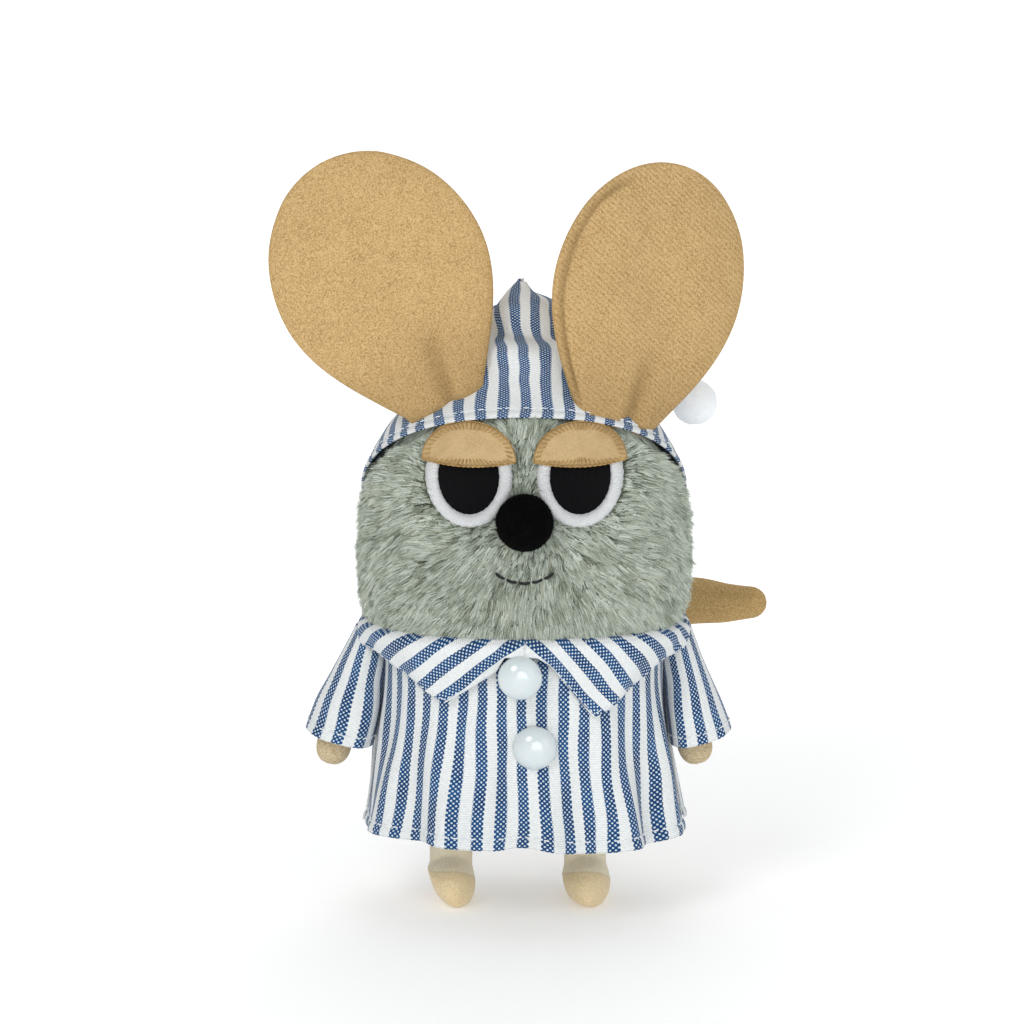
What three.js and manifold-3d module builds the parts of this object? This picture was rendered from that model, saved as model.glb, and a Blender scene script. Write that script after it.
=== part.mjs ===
// A soft mouse in a striped nightshirt and nightcap, with a key-wound music movement inside its body.
// Millimetres, +Z up, the face looks along -Y, +X is on the right when it is seen from the front.
// The pieces are laid out from the middle of the body, and the whole is moved to its own origin at the end.
import * as THREE from "three";
import Module from "manifold-3d";

const wasm = await Module();
wasm.setup();

// ---- Driving dimensions ----
const BODY_Y = -4; // the middle of the torso and the head, front to back
const GAP = 0.4; // between pieces that lie against each other
const CLOTH = 1; // cotton cloth with its seam allowance

const HEAD = { bottom: 84, middle: 104, top: 154, halfWidth: 46, halfDepth: 37 };
const HEAD_BULGE = { power: 2.05, lowerHeight: 32, lowerPower: 4 };
const TORSO = { bottom: 36, top: 79.5, halfWidth: 37, halfDepth: 30 };
const NECK = { halfWidth: 21, halfDepth: 16 };
const SQUARENESS = 2.3; // how far the stuffed plan outlines are from an ellipse, which is 2

const SHIRT = { hem: 23, shoulder: 76, top: 80.6 };
const COLLAR = { top: 82.9, halfWidth: 46.3, halfDepth: 38, sideDrop: 5.5 };
const NECKLINE = { halfWidth: 24, halfDepth: 19 };

const EAR = { length: 71.8, halfWidth: 30, widestAt: 37.5, rootHalfWidth: 12, halfThickness: 4.4 };
// Each ear stands in a slot of the cap, leaning outwards and turned about its own length.
const EARS = {
  left: { base: [-21.7, BODY_Y - 16, 145.6], lean: -27, yaw: -4, pitch: -5 },
  right: { base: [24.8, BODY_Y - 15, 139], lean: 14, yaw: 30, pitch: -5 },
};
const EAR_FOLD = { back: -12, forward: 30 };

const CAP = { brimFront: 144.5, brimSlope: 0.72, coneStart: 150, peak: 176, bluntness: 1.35, offset: 1.7 };
// The cap's point folds over backwards and hangs behind the right ear.
const CAP_TIP = {
  startRadius: 5,
  narrowing: 2.7,
  path: [
    [1, BODY_Y + 14.6, 165.5],
    [10, BODY_Y + 24.6, 161],
    [24, BODY_Y + 29.8, 155.5],
    [36.5, BODY_Y + 31.5, 149],
    [44.6, BODY_Y + 31.3, 143.4],
  ],
};
const POMPOM = { x: 48.9, y: BODY_Y + 30, z: 138, radius: 6.5 };

const ARM = { radius: 4.9, topRadius: 3.4, pivot: [45.2, BODY_Y - 3, 68] };
// The left arm hangs farther out than the right one.
const HANDS = { left: [53.7, BODY_Y - 5, 45], right: [48, BODY_Y - 5, 45] };
const ARM_ROOT = { radius: 2.6, inner: 37.6 }; // the stub that joins the arm to the body through the armhole
const SLEEVE = { top: [5.3, 7.6], hemTilt: 0.27 };
const SLEEVE_HEMS = {
  left: { at: [51.4, BODY_Y - 5, 48.3], size: [9.2, 9] },
  right: { at: [49.5, BODY_Y - 5, 48.3], size: [8.4, 9] },
};
const LEG = { radius: 6.2, ankle: 3, room: 0.7 };
const HIPS = { left: [-20.5, BODY_Y, 33], right: [17.5, BODY_Y, 33] };
const FOOT = { halfWidth: 7, halfLength: 12.5, halfHeight: 9, sunk: 3.6, forward: 2 };

const TAIL = { rootRadius: 5, bodyRadius: 6.9, tipRadius: 3.2, room: 0.8 };
const TAIL_PATH = [
  [7, BODY_Y + 27, 42],
  [9, BODY_Y + 39, 42.5],
  [20, BODY_Y + 49.5, 51],
  [32, BODY_Y + 50, 67.5],
  [46, BODY_Y + 48, 75.8],
  [60, BODY_Y + 44, 76.5],
  [71.2, BODY_Y + 40.5, 77.5],
];

const EYE = { x: 15, z: 126.5, halfWidth: 11.6, halfHeight: 13.2, ring: 3.4 };
const NOSE = { z: 115.5, radius: 7.6, out: 4.2 };
const BUTTONS = [
  { name: "top_button", x: -1.2, z: 72.8, out: 37.6, shank: 3.2, lean: -1 },
  { name: "lower_button", x: 2.8, z: 52.7, out: 34.85, shank: 0, lean: -3.4 },
];
const BUTTON = { radius: 6, height: 4.6, shankRadius: 1.6 };

// The movement is laid out from its own corner: depth 0 is the front face of its bedplate.
const MOVE = { x: -9, z: 60, front: BODY_Y - 8 };
const CASE = { left: -14, right: 32, halfHeight: 16.5, front: -1.8, back: 22.4, wall: 1.5 };
const PLATE = { left: -12, right: 29, halfHeight: 14, front: [0.3, 1.5], back: [19.2, 20.2] };
const BARREL = { teeth: 44, module: 0.5, drum: 8, wall: 0.6, depth: [8, 16.4], rim: [16.4, 18.2] };
const CYLINDER = {
  pinion: 10,
  wheel: 40,
  wheelModule: 0.4,
  radius: 4,
  pinOut: 0.5,
  pins: 26,
  depth: [4, 15.4],
};
const GOVERNOR = { pinion: 8, angle: -50, wing: 4.6, depth: [6, 15.5] };
const ARBOR = { winding: 1.5, cylinder: 0.8, governor: 0.5, clearance: 0.1 };
const MESH_SLACK = 0.12; // added to each gear centre distance so that the teeth run free
const COMB = { teeth: 18, height: 3, thickness: 0.7, length: 10.6 };
const KEY = { hub: 3.6, hubLength: 11, wingSpan: 13, wingHalfHeight: 6.6, wingThickness: 1.6 };

const deg = THREE.MathUtils.degToRad;
const part = new THREE.Group();

// ---- Materials ----
const cloth = (color, roughness = 0.95) => new THREE.MeshStandardMaterial({ color, roughness, metalness: 0 });
const metal = (color, roughness) => new THREE.MeshStandardMaterial({ color, roughness, metalness: 1 });
const GREY_PLUSH = cloth(0x9ba394);
const TAN_VELOUR = cloth(0xc8a26a);
const SUEDE = cloth(0xb09a72);
const STUFFING = cloth(0xd9d4c6);
const STRIPED_COTTON = cloth(0xa8b6cf, 0.9);
const FELT = cloth(0xbd9660);
const WHITE_THREAD = cloth(0xf1f1ee, 0.7);
const BLACK_THREAD = cloth(0x0c0c10, 0.8);
const BLACK_VELVET = cloth(0x0a0a0c);
const WHITE_PLUSH = cloth(0xf2f3f6);
const BUTTON_PLASTIC = cloth(0xf4f5f7, 0.15);
const CASE_PLASTIC = cloth(0xe8e6dc, 0.5);
const EYELET_BRASS = metal(0xc8a04a, 0.35);
const BRASS = metal(0xc9a24e, 0.3);
const STEEL = metal(0xa9abad, 0.35);
const NICKEL = metal(0xd4d5d6, 0.18);

// ---- Solids ----

// A manifold-3d solid from vertices and triangles, turned to face outwards.
function closedSolid(vertices, triangles) {
  const build = (tris) =>
    new wasm.Manifold(
      new wasm.Mesh({
        numProp: 3,
        vertProperties: new Float32Array(vertices.flat()),
        triVerts: new Uint32Array(tris.flat()),
      }),
    );
  const made = build(triangles);
  return made.volume() > 0 ? made : build(triangles.map(([a, b, c]) => [a, c, b]));
}

// A solid skinned over rings that all have the same number of points, with a fan over each end.
function skin(rings) {
  const count = rings[0].length;
  const vertices = rings.flat();
  const triangles = [];
  for (let r = 0; r + 1 < rings.length; r++) {
    for (let i = 0; i < count; i++) {
      const j = (i + 1) % count;
      const low = r * count;
      const high = low + count;
      triangles.push([low + i, low + j, high + j], [low + i, high + j, high + i]);
    }
  }
  for (const r of [0, rings.length - 1]) {
    const middle = [0, 1, 2].map((k) => rings[r].reduce((sum, p) => sum + p[k], 0) / count);
    const centre = vertices.push(middle) - 1;
    for (let i = 0; i < count; i++) {
      const pair = [r * count + i, r * count + ((i + 1) % count)];
      triangles.push(r === 0 ? [centre, pair[1], pair[0]] : [centre, ...pair]);
    }
  }
  return closedSolid(vertices, triangles);
}

// The geometry of a three.js class as a solid: only its positions are kept, and equal ones are merged.
function solidOf(geometry) {
  const position = geometry.getAttribute("position");
  const index = geometry.index ? Array.from(geometry.index.array) : [...Array(position.count).keys()];
  const places = new Map();
  const vertices = [];
  const merged = index.map((i) => {
    const p = [position.getX(i), position.getY(i), position.getZ(i)];
    const place = p.map((value) => Math.round(value * 1e4)).join();
    if (!places.has(place)) places.set(place, vertices.push(p) - 1);
    return places.get(place);
  });
  const triangles = [];
  for (let i = 0; i < merged.length; i += 3) {
    const [a, b, c] = merged.slice(i, i + 3);
    if (a !== b && b !== c && a !== c) triangles.push([a, b, c]);
  }
  return closedSolid(vertices, triangles);
}

// A solid moved by a three.js matrix.
function moved(solid, matrix) {
  return solid.transform(matrix.elements);
}

function shift(solid, x, y, z) {
  return solid.translate([x, y, z]);
}

function box(low, high) {
  const size = high.map((value, k) => value - low[k]);
  const middle = high.map((value, k) => (value + low[k]) / 2);
  return shift(solidOf(new THREE.BoxGeometry(...size)), ...middle);
}

function ball(radius, segments = 16) {
  return solidOf(new THREE.SphereGeometry(radius, segments, segments / 2));
}

// A rod along Y from one depth to another.
function rod(radius, x, z, from, to, segments = 16) {
  const made = solidOf(new THREE.CylinderGeometry(radius, radius, to - from, segments));
  return shift(made, x, (from + to) / 2, z);
}

function add(name, solid, material) {
  const { vertProperties, triVerts } = solid.getMesh();
  const geometry = new THREE.BufferGeometry();
  geometry.setAttribute("position", new THREE.BufferAttribute(vertProperties, 3));
  geometry.setIndex(new THREE.BufferAttribute(triVerts, 1));
  geometry.computeVertexNormals();
  const mesh = new THREE.Mesh(geometry, material);
  mesh.name = name;
  part.add(mesh);
  return mesh;
}

// One level outline: a squared ellipse around the body's middle.
function outline(z, halfWidth, halfDepth, segments = 28, y = BODY_Y, x = 0, power = SQUARENESS) {
  const ring = [];
  for (let i = 0; i < segments; i++) {
    const angle = (2 * Math.PI * i) / segments;
    const c = Math.cos(angle);
    const s = Math.sin(angle);
    const squared = (value) => Math.sign(value) * Math.abs(value) ** (2 / power);
    ring.push([x + halfWidth * squared(c), y + halfDepth * squared(s), z]);
  }
  return ring;
}

// Stacked level outlines, each given as [z, half width, half depth].
function stack(levels) {
  return skin(levels.map(([z, halfWidth, halfDepth]) => outline(z, halfWidth, halfDepth)));
}

// A round stuffed tube along a curve. Its sections are given as [share of the length, radius].
function stuffedTube(curve, sections, segments = 12) {
  const steps = 60; // the frames along the curve are found at these many shares
  const frames = curve.computeFrenetFrames(steps);
  const rings = sections.map(([share, radius]) => {
    const centre = curve.getPointAt(share);
    const nearest = Math.round(share * steps);
    return [...Array(segments).keys()].map((k) => {
      const angle = (2 * Math.PI * k) / segments;
      const out = frames.normals[nearest].clone().multiplyScalar(radius * Math.cos(angle));
      out.addScaledVector(frames.binormals[nearest], radius * Math.sin(angle));
      return centre.clone().add(out).toArray();
    });
  });
  return skin(rings);
}

// The sections of a tube with round ends, whose radius is given at each share of the length.
function roundEnded(length, radiusAt, middles) {
  const slopes = [6, 32, 62].map(deg);
  const start = slopes.map((a) => [(radiusAt(0) * (1 - Math.cos(a))) / length, radiusAt(0) * Math.sin(a)]);
  const end = slopes.map((a) => [1 - (radiusAt(1) * (1 - Math.cos(a))) / length, radiusAt(1) * Math.sin(a)]);
  const first = radiusAt(0) / length;
  const last = 1 - radiusAt(1) / length;
  const middle = [...Array(middles + 1).keys()].map((i) => {
    const share = first + ((last - first) * i) / middles;
    return [share, radiusAt(share)];
  });
  return [...start, ...middle, ...end.reverse()];
}

// ---- Head ----

// The half width of the head, as a share of its widest, at a height.
function headShare(z) {
  const rise = z - HEAD.middle;
  const { power, lowerPower, lowerHeight } = HEAD_BULGE;
  if (rise < 0) return (1 - (-rise / lowerHeight) ** lowerPower) ** (1 / lowerPower);
  const share = Math.min(rise / (HEAD.top - HEAD.middle), 0.999);
  return (1 - share ** power) ** (1 / power);
}

function headLevel(z, out) {
  const share = headShare(z);
  return [z, HEAD.halfWidth * share + out, HEAD.halfDepth * share + out];
}

function headSolid(out) {
  const heights = [84, 88, 95, 104, 113, 122, 130, 137, 143, 148, 151.5, 153.8];
  const levels = heights.map((z) => headLevel(z, out));
  levels[levels.length - 1][0] += out;
  return stack(levels);
}

function earMatrix(side) {
  const { base, lean, yaw, pitch } = EARS[side];
  const turn = new THREE.Euler(deg(pitch), deg(lean), deg(yaw));
  return new THREE.Matrix4().makeRotationFromEuler(turn).setPosition(...base);
}

function earHalfWidth(v) {
  const { length, widestAt, halfWidth, rootHalfWidth } = EAR;
  const above = (v - widestAt) / (length - widestAt);
  if (above > 0) return halfWidth * Math.sqrt(Math.max(0, 1 - above ** 2));
  return rootHalfWidth + (halfWidth - rootHalfWidth) * Math.sin((Math.PI / 2) * (v / widestAt));
}

// The ear stands along +Z from its fold line, and its face looks along -Y.
function earSolid() {
  const root = 3.2;
  const level = (z, halfWidth, halfDepth) => outline(z, halfWidth, halfDepth, 20, 0, 0, 2.6);
  const rings = [
    level(-root, EAR.rootHalfWidth - 2, 0.5),
    level(-root * 0.7, EAR.rootHalfWidth - 0.5, root * 0.7),
    level(0, EAR.rootHalfWidth, root),
  ];
  for (const share of [0.1, 0.22, 0.36, 0.5, 0.64, 0.77, 0.88, 0.95, 0.985, 0.998]) {
    const v = share * EAR.length;
    const edge = Math.min(1, (EAR.length - v) / 22 + 0.28);
    rings.push(level(v, earHalfWidth(v), EAR.halfThickness * edge));
  }
  return skin(rings);
}

// The slot that an ear's root turns in: a wedge that is as wide as the root and opens with the fold.
function earRoom(side) {
  const reach = EAR.halfThickness + 0.8;
  const deep = 16;
  const along = (fold, v, out) => {
    const angle = deg(fold);
    return [v * -Math.sin(angle) + out * Math.cos(angle), v * Math.cos(angle) + out * Math.sin(angle)];
  };
  const wedge = new THREE.Shape();
  wedge.moveTo(...along(EAR_FOLD.back, deep, reach));
  wedge.lineTo(...along(EAR_FOLD.back, -1, reach));
  wedge.lineTo(0, -reach);
  wedge.lineTo(...along(EAR_FOLD.forward, -1, -reach));
  wedge.lineTo(...along(EAR_FOLD.forward, deep, -reach));
  const width = 2 * (EAR.rootHalfWidth + 5);
  const flat = solidOf(new THREE.ExtrudeGeometry(wedge, { depth: width, bevelEnabled: false }));
  const upright = new THREE.Matrix4().set(0, 0, 1, -width / 2, 1, 0, 0, 0, 0, 1, 0, 0, 0, 0, 0, 1);
  return moved(flat, earMatrix(side).multiply(upright));
}

const earRooms = earRoom("left").add(earRoom("right"));

function addHead() {
  add("head", headSolid(0).subtract(earRooms), GREY_PLUSH);
  for (const side of ["left", "right"]) add(`${side}_ear`, moved(earSolid(), earMatrix(side)), TAN_VELOUR);
}

// ---- Face ----

// A patch that hugs the face: the part of a layer over the head that an upright prism cuts out.
function facePatch(shape, inner, outer) {
  const settings = { depth: 60, bevelEnabled: false, curveSegments: 10 };
  const prism = solidOf(new THREE.ExtrudeGeometry(shape, settings));
  const upright = prism.rotate([90, 0, 0]).translate([0, BODY_Y, 0]);
  return headSolid(outer).subtract(headSolid(inner)).intersect(upright);
}

function oval(x, z, halfWidth, halfHeight) {
  const shape = new THREE.Shape();
  shape.absellipse(x, z, halfWidth, halfHeight, 0, 2 * Math.PI);
  return shape;
}

// A lid covers the top of the eye and ends in a gentle downward bow.
function lidShape(x, grow) {
  const halfWidth = EYE.halfWidth + 1 + grow;
  const low = EYE.z + 3.4 - grow;
  const shape = new THREE.Shape();
  shape.moveTo(x - halfWidth, low + 0.6);
  shape.quadraticCurveTo(x, low - 1.8, x + halfWidth, low + 0.6);
  shape.bezierCurveTo(x + halfWidth - 0.6, low + 14, x - halfWidth + 0.6, low + 14, x - halfWidth, low + 0.6);
  return shape;
}

function addFace() {
  for (const [side, sign] of [["left", -1], ["right", 1]]) {
    const x = sign * EYE.x;
    const white = oval(x, EYE.z, EYE.halfWidth, EYE.halfHeight);
    const black = oval(x, EYE.z, EYE.halfWidth - EYE.ring, EYE.halfHeight - EYE.ring);
    add(`${side}_eye_white`, facePatch(white, GAP, 1.3), WHITE_THREAD);
    const lidPrism = facePatch(lidShape(x, GAP), 0, 4);
    add(`${side}_pupil`, facePatch(black, 1.7, 2.4).subtract(lidPrism), BLACK_THREAD);
    add(`${side}_eyelid`, facePatch(lidShape(x, 0), 1.7, 3), FELT);
  }
  const front = BODY_Y - HEAD.halfDepth * headShare(NOSE.z) - NOSE.out;
  const nose = shift(ball(NOSE.radius), 0, front, NOSE.z);
  add("nose", nose.subtract(headSolid(GAP)), BLACK_VELVET);
  const mouth = new THREE.Shape();
  mouth.absarc(0, 111, 12, Math.PI * 1.28, Math.PI * 1.72, false);
  mouth.absarc(0, 111, 13.1, Math.PI * 1.72, Math.PI * 1.28, true);
  add("mouth_stitch", facePatch(mouth, GAP, 1.6), BLACK_THREAD);
}

// ---- Nightcap ----

function capSolid(out) {
  const levels = [94, 103, 112, 121, 130, 138, 144].map((z) => headLevel(z, out));
  const low = HEAD.halfWidth * headShare(CAP.coneStart) + out;
  const lowDepth = HEAD.halfDepth * headShare(CAP.coneStart) + out;
  const peak = CAP.peak - (CAP.offset - out) * 1.6;
  for (const share of [0, 0.25, 0.5, 0.75, 1]) {
    const narrow = 1 - share ** CAP.bluntness;
    const z = CAP.coneStart + share * (peak - CAP.coneStart);
    levels.push([z, low * narrow + 0.8, lowDepth * narrow + 1.6]);
  }
  return stack(levels);
}

// Everything below the brim, which slopes down from the forehead to the nape.
function belowBrim() {
  const tilt = Math.atan(CAP.brimSlope);
  const slab = box([-80, -120, -90], [80, 120, 0]);
  const matrix = new THREE.Matrix4().makeRotationX(-tilt).setPosition(0, BODY_Y - 30, CAP.brimFront);
  return moved(slab, matrix);
}

function addNightcap() {
  const shell = capSolid(CAP.offset).subtract(capSolid(CAP.offset - CLOTH));
  add("nightcap", shell.subtract(belowBrim()).subtract(earRooms), STRIPED_COTTON);
  const path = new THREE.CatmullRomCurve3(CAP_TIP.path.map((point) => new THREE.Vector3(...point)));
  const radiusAt = (share) => CAP_TIP.startRadius - CAP_TIP.narrowing * share;
  const sections = roundEnded(path.getLength(), radiusAt, 9);
  add("nightcap_tip", stuffedTube(path, sections), STRIPED_COTTON);
  add("pompom", shift(ball(POMPOM.radius), POMPOM.x, POMPOM.y, POMPOM.z), WHITE_PLUSH);
}

// ---- Limbs ----

function capsule(from, to, startRadius, endRadius) {
  const curve = new THREE.LineCurve3(from, to);
  const radiusAt = (share) => startRadius + (endRadius - startRadius) * Math.min(1, share * 2);
  return stuffedTube(curve, roundEnded(curve.getLength(), radiusAt, 4));
}

// A point of the right side, or the one opposite it on the left.
function onSide([x, y, z], sign) {
  return new THREE.Vector3(sign * x, y, z);
}

// A short rod along X on one side of the body, between two distances from the middle.
function sideRod(radius, sign, [, y, z], from, to) {
  const made = solidOf(new THREE.CylinderGeometry(radius, radius, to - from, 14));
  return shift(made.rotate([0, 0, 90]), (sign * (from + to)) / 2, y, z);
}

function armSolid(side, sign) {
  const shoulder = onSide(ARM.pivot, sign);
  const hand = onSide(HANDS[side], sign);
  const along = hand.clone().sub(shoulder).normalize();
  const tip = hand.clone().addScaledVector(along, ARM.radius * 0.8);
  const top = shoulder.clone().addScaledVector(along, -ARM.topRadius);
  const root = sideRod(ARM_ROOT.radius, sign, ARM.pivot, ARM_ROOT.inner, ARM.pivot[0]);
  return capsule(top, tip, ARM.topRadius, ARM.radius).add(root);
}

// A sleeve hangs from the shoulder round the arm and is open at its hem.
function sleeveSolid(side, sign) {
  const { at, size: hemSize } = SLEEVE_HEMS[side];
  const top = onSide(ARM.pivot, sign);
  const hem = onSide(at, sign);
  const layer = (inset, levels) => {
    const rings = levels.map(([share, grow]) => {
      const middle = top.clone().lerp(hem, share);
      const spread = Math.max(0, share);
      const [wide, deep] = SLEEVE.top.map((size, k) => (size + (hemSize[k] - size) * spread) * grow - inset);
      const ring = outline(middle.z, wide, deep, 20, middle.y, middle.x, 2.1);
      return ring.map(([x, y, z]) => [x, y, z + sign * (x - middle.x) * SLEEVE.hemTilt * spread]);
    });
    return skin(rings);
  };
  const outer = layer(0, [[-0.3, 0.4], [-0.24, 0.75], [-0.1, 1], [0.35, 1], [0.7, 1], [1, 1]]);
  const inner = layer(CLOTH, [[-0.2, 0.6], [-0.1, 1], [0.35, 1], [0.7, 1], [1.2, 1]]);
  const armhole = sideRod(ARM_ROOT.radius + GAP, sign, ARM.pivot, ARM_ROOT.inner, ARM.pivot[0]);
  return outer.subtract(inner).subtract(armhole);
}

function legSolid(side) {
  const [x, y, z] = HIPS[side];
  const hip = new THREE.Vector3(x, y, z + LEG.radius);
  const ankle = new THREE.Vector3(x, y, LEG.ankle);
  const foot = ball(1).scale([FOOT.halfWidth, FOOT.halfLength, FOOT.halfHeight]);
  const placed = shift(foot, x, y - FOOT.forward, FOOT.halfHeight - FOOT.sunk);
  return capsule(hip, ankle, LEG.radius, LEG.radius).add(placed).trimByPlane([0, 0, 1], 0);
}

function addLimbs() {
  for (const [side, sign] of [["left", -1], ["right", 1]]) {
    add(`${side}_arm`, armSolid(side, sign), SUEDE);
    add(`${side}_sleeve`, sleeveSolid(side, sign), STRIPED_COTTON);
    add(`${side}_leg`, legSolid(side), SUEDE);
  }
  const curve = new THREE.CatmullRomCurve3(TAIL_PATH.map((point) => new THREE.Vector3(...point)));
  const { rootRadius, bodyRadius, tipRadius } = TAIL;
  const thickness = (share) => {
    const grown = rootRadius + (bodyRadius - rootRadius) * Math.min(1, share / 0.45);
    return share < 0.7 ? grown : bodyRadius + ((tipRadius - bodyRadius) * (share - 0.7)) / 0.3;
  };
  const tail = stuffedTube(curve, roundEnded(curve.getLength(), thickness, 22));
  add("tail", tail.add(shift(ball(rootRadius), ...TAIL_PATH[0])), SUEDE);
}

// ---- Torso ----

function torsoSolid(out = 0) {
  const { bottom, top, halfWidth, halfDepth } = TORSO;
  const level = (z, share) => [z, halfWidth * share + out, halfDepth * share + out];
  return stack([
    level(bottom, 0.8),
    level(bottom + 3, 0.9),
    level(bottom + 9, 0.98),
    level((bottom + top) / 2, 1),
    level(top - 8, 0.98),
    level(top - 3, 0.92),
    level(top, 0.82),
  ]);
}

function movementBox(grow, from, to) {
  return box(
    [MOVE.x + CASE.left - grow, from, MOVE.z - CASE.halfHeight - grow],
    [MOVE.x + CASE.right + grow, to, MOVE.z + CASE.halfHeight + grow],
  );
}

const PAD_FRONT = MOVE.front + CASE.back + CASE.wall + 2 * GAP + 0.4;

function addTorso() {
  const neck = skin([
    outline(TORSO.top - 2, NECK.halfWidth, NECK.halfDepth),
    outline(HEAD.bottom - GAP, NECK.halfWidth, NECK.halfDepth),
  ]);
  const pocket = movementBox(GAP, MOVE.front + CASE.front - GAP, 60);
  let torso = torsoSolid().add(neck).subtract(pocket);
  for (const hip of Object.values(HIPS)) {
    torso = torso.subtract(shift(ball(LEG.radius + LEG.room), ...hip));
  }
  const tailRoom = shift(ball(TAIL.rootRadius + TAIL.room), ...TAIL_PATH[0]);
  torso = torso.subtract(tailRoom);
  add("torso", torso, STUFFING);
  const pad = torsoSolid(-GAP).intersect(movementBox(-GAP / 2, PAD_FRONT, 60));
  const shaftHole = rod(4, MOVE.x, MOVE.z, PAD_FRONT - 2, 60, 20);
  add("back_pad", pad.subtract(shaftHole).subtract(tailRoom), STUFFING);
}

// ---- Nightshirt ----

function shirtSolid(inset, topZ) {
  const levels = [
    [SHIRT.hem, 45.2, 37.6],
    [28, 44, 36.6],
    [38, 42.2, 35.4],
    [48, 40.6, 34.6],
    [58, 39.6, 34],
    [66, 39.2, 33.8],
    [72, 39.2, 33.6],
    [SHIRT.shoulder, 38.6, 33],
    [topZ, 34, 28],
  ];
  return stack(levels.map(([z, w, d]) => [z, w - inset, d - inset]));
}

const SHIRT_BACK = BODY_Y + 34; // where the shirt's back is flat enough for the key's eyelet

function addNightshirt() {
  const outer = shirtSolid(0, SHIRT.top);
  const inner = shirtSolid(CLOTH, SHIRT.top - CLOTH);
  const neckHole = skin([
    outline(SHIRT.top - 6, NECKLINE.halfWidth, NECKLINE.halfDepth),
    outline(SHIRT.top + 3, NECKLINE.halfWidth, NECKLINE.halfDepth),
  ]);
  const keyHole = rod(5, MOVE.x, MOVE.z, BODY_Y + 20, 60, 20);
  const tailHole = rod(8.6, TAIL_PATH[1][0], TAIL_PATH[1][2], BODY_Y + 20, 60, 20);
  let shell = outer.subtract(inner).subtract(neckHole).subtract(keyHole).subtract(tailHole);
  for (const sign of [-1, 1]) {
    shell = shell.subtract(sideRod(ARM_ROOT.radius + GAP, sign, ARM.pivot, ARM_ROOT.inner - 2, ARM.pivot[0]));
  }
  // Front and back are two panels, sewn together down the sides.
  const seam = GAP / 2;
  add("shirt_front", shell.trimByPlane([0, -1, 0], -(BODY_Y - seam)), STRIPED_COTTON);
  add("shirt_back", shell.trimByPlane([0, 1, 0], BODY_Y + seam), STRIPED_COTTON);
}

// The collar lies on the shirt at its points and stands out round the head at its fold.
function collarLayer(inset) {
  const { halfWidth: w, halfDepth: d, top } = COLLAR;
  const levels = [
    [56, w - 5.2, d - 2.6],
    [68, w - 4.4, d - 2.6],
    [74, w - 1.6, d - 1.6],
    [78, w - 0.2, d - 0.3],
    [80.6, w, d],
    [top - 0.8, w - 0.8, d - 0.8],
  ];
  return stack([...levels.map(([z, a, b]) => [z, a - inset, b - inset]), [top - inset, w - 3, d - 3]]);
}

// Below this line the collar is cut away: two points in front, a short drop at the sides and back.
function collarCut() {
  const low = COLLAR.top - COLLAR.sideDrop;
  const shape = new THREE.Shape();
  const leftFlap = [[-60, low], [-46, low], [-37, 69], [-21.6, 62.5]];
  const rightFlap = [[20.4, 60], [37, 68], [46, low], [60, low]];
  const edge = [...leftFlap, [0, 78.5], ...rightFlap];
  shape.moveTo(-60, 40);
  for (const [x, z] of edge) shape.lineTo(x, z);
  shape.lineTo(60, 40);
  const prism = solidOf(new THREE.ExtrudeGeometry(shape, { depth: 60, bevelEnabled: false }));
  const front = prism.rotate([90, 0, 0]).translate([0, BODY_Y - 8, 0]);
  return front.add(box([-60, BODY_Y - 8.1, 40], [60, 60, low]));
}

function addCollar() {
  const hole = skin([
    outline(COLLAR.top - 4, NECKLINE.halfWidth, NECKLINE.halfDepth),
    outline(COLLAR.top + 2, NECKLINE.halfWidth, NECKLINE.halfDepth),
  ]);
  const shell = collarLayer(0).subtract(collarLayer(CLOTH)).subtract(hole);
  add("collar", shell.subtract(collarCut()), STRIPED_COTTON);
}

function addButtons() {
  for (const { name, x, z, out, shank, lean } of BUTTONS) {
    const dome = new THREE.LatheGeometry(
      [
        [0, 0],
        [4.6, 0],
        [BUTTON.radius, 1.1],
        [BUTTON.radius - 0.3, 2.1],
        [4.4, 3.7],
        [2.3, BUTTON.height - 0.2],
        [0, BUTTON.height],
      ].map(([r, h]) => new THREE.Vector2(r, h)),
      24,
    );
    const shankRod = rod(BUTTON.shankRadius, 0, 0, -shank, 0.5, 12);
    const button = shank > 0 ? solidOf(dome).add(shankRod) : solidOf(dome);
    add(name, shift(button.rotate([180 + lean, 0, 0]), x, BODY_Y - out, z), BUTTON_PLASTIC);
  }
}

// ---- Movement ----

// A spur gear along Y, with straight-sided teeth. Its first tooth points along +X turned by phase degrees.
function gear(teeth, module, from, to, phase = 0) {
  const pitch = (teeth * module) / 2;
  const tip = pitch + 0.85 * module;
  const rootRadius = pitch - 1.15 * module;
  const shape = new THREE.Shape();
  for (let i = 0; i < teeth; i++) {
    const middle = (2 * Math.PI * i) / teeth + deg(phase);
    const flank = [[-0.31, rootRadius], [-0.14, tip], [0.14, tip], [0.31, rootRadius]];
    for (const [share, radius] of flank) {
      const angle = middle + (share * 2 * Math.PI) / teeth;
      const point = [radius * Math.cos(angle), radius * Math.sin(angle)];
      if (i === 0 && share === -0.31) shape.moveTo(...point);
      else shape.lineTo(...point);
    }
  }
  const flat = solidOf(new THREE.ExtrudeGeometry(shape, { depth: to - from, bevelEnabled: false }));
  return flat.rotate([90, 0, 0]).translate([0, to, 0]);
}

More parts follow.
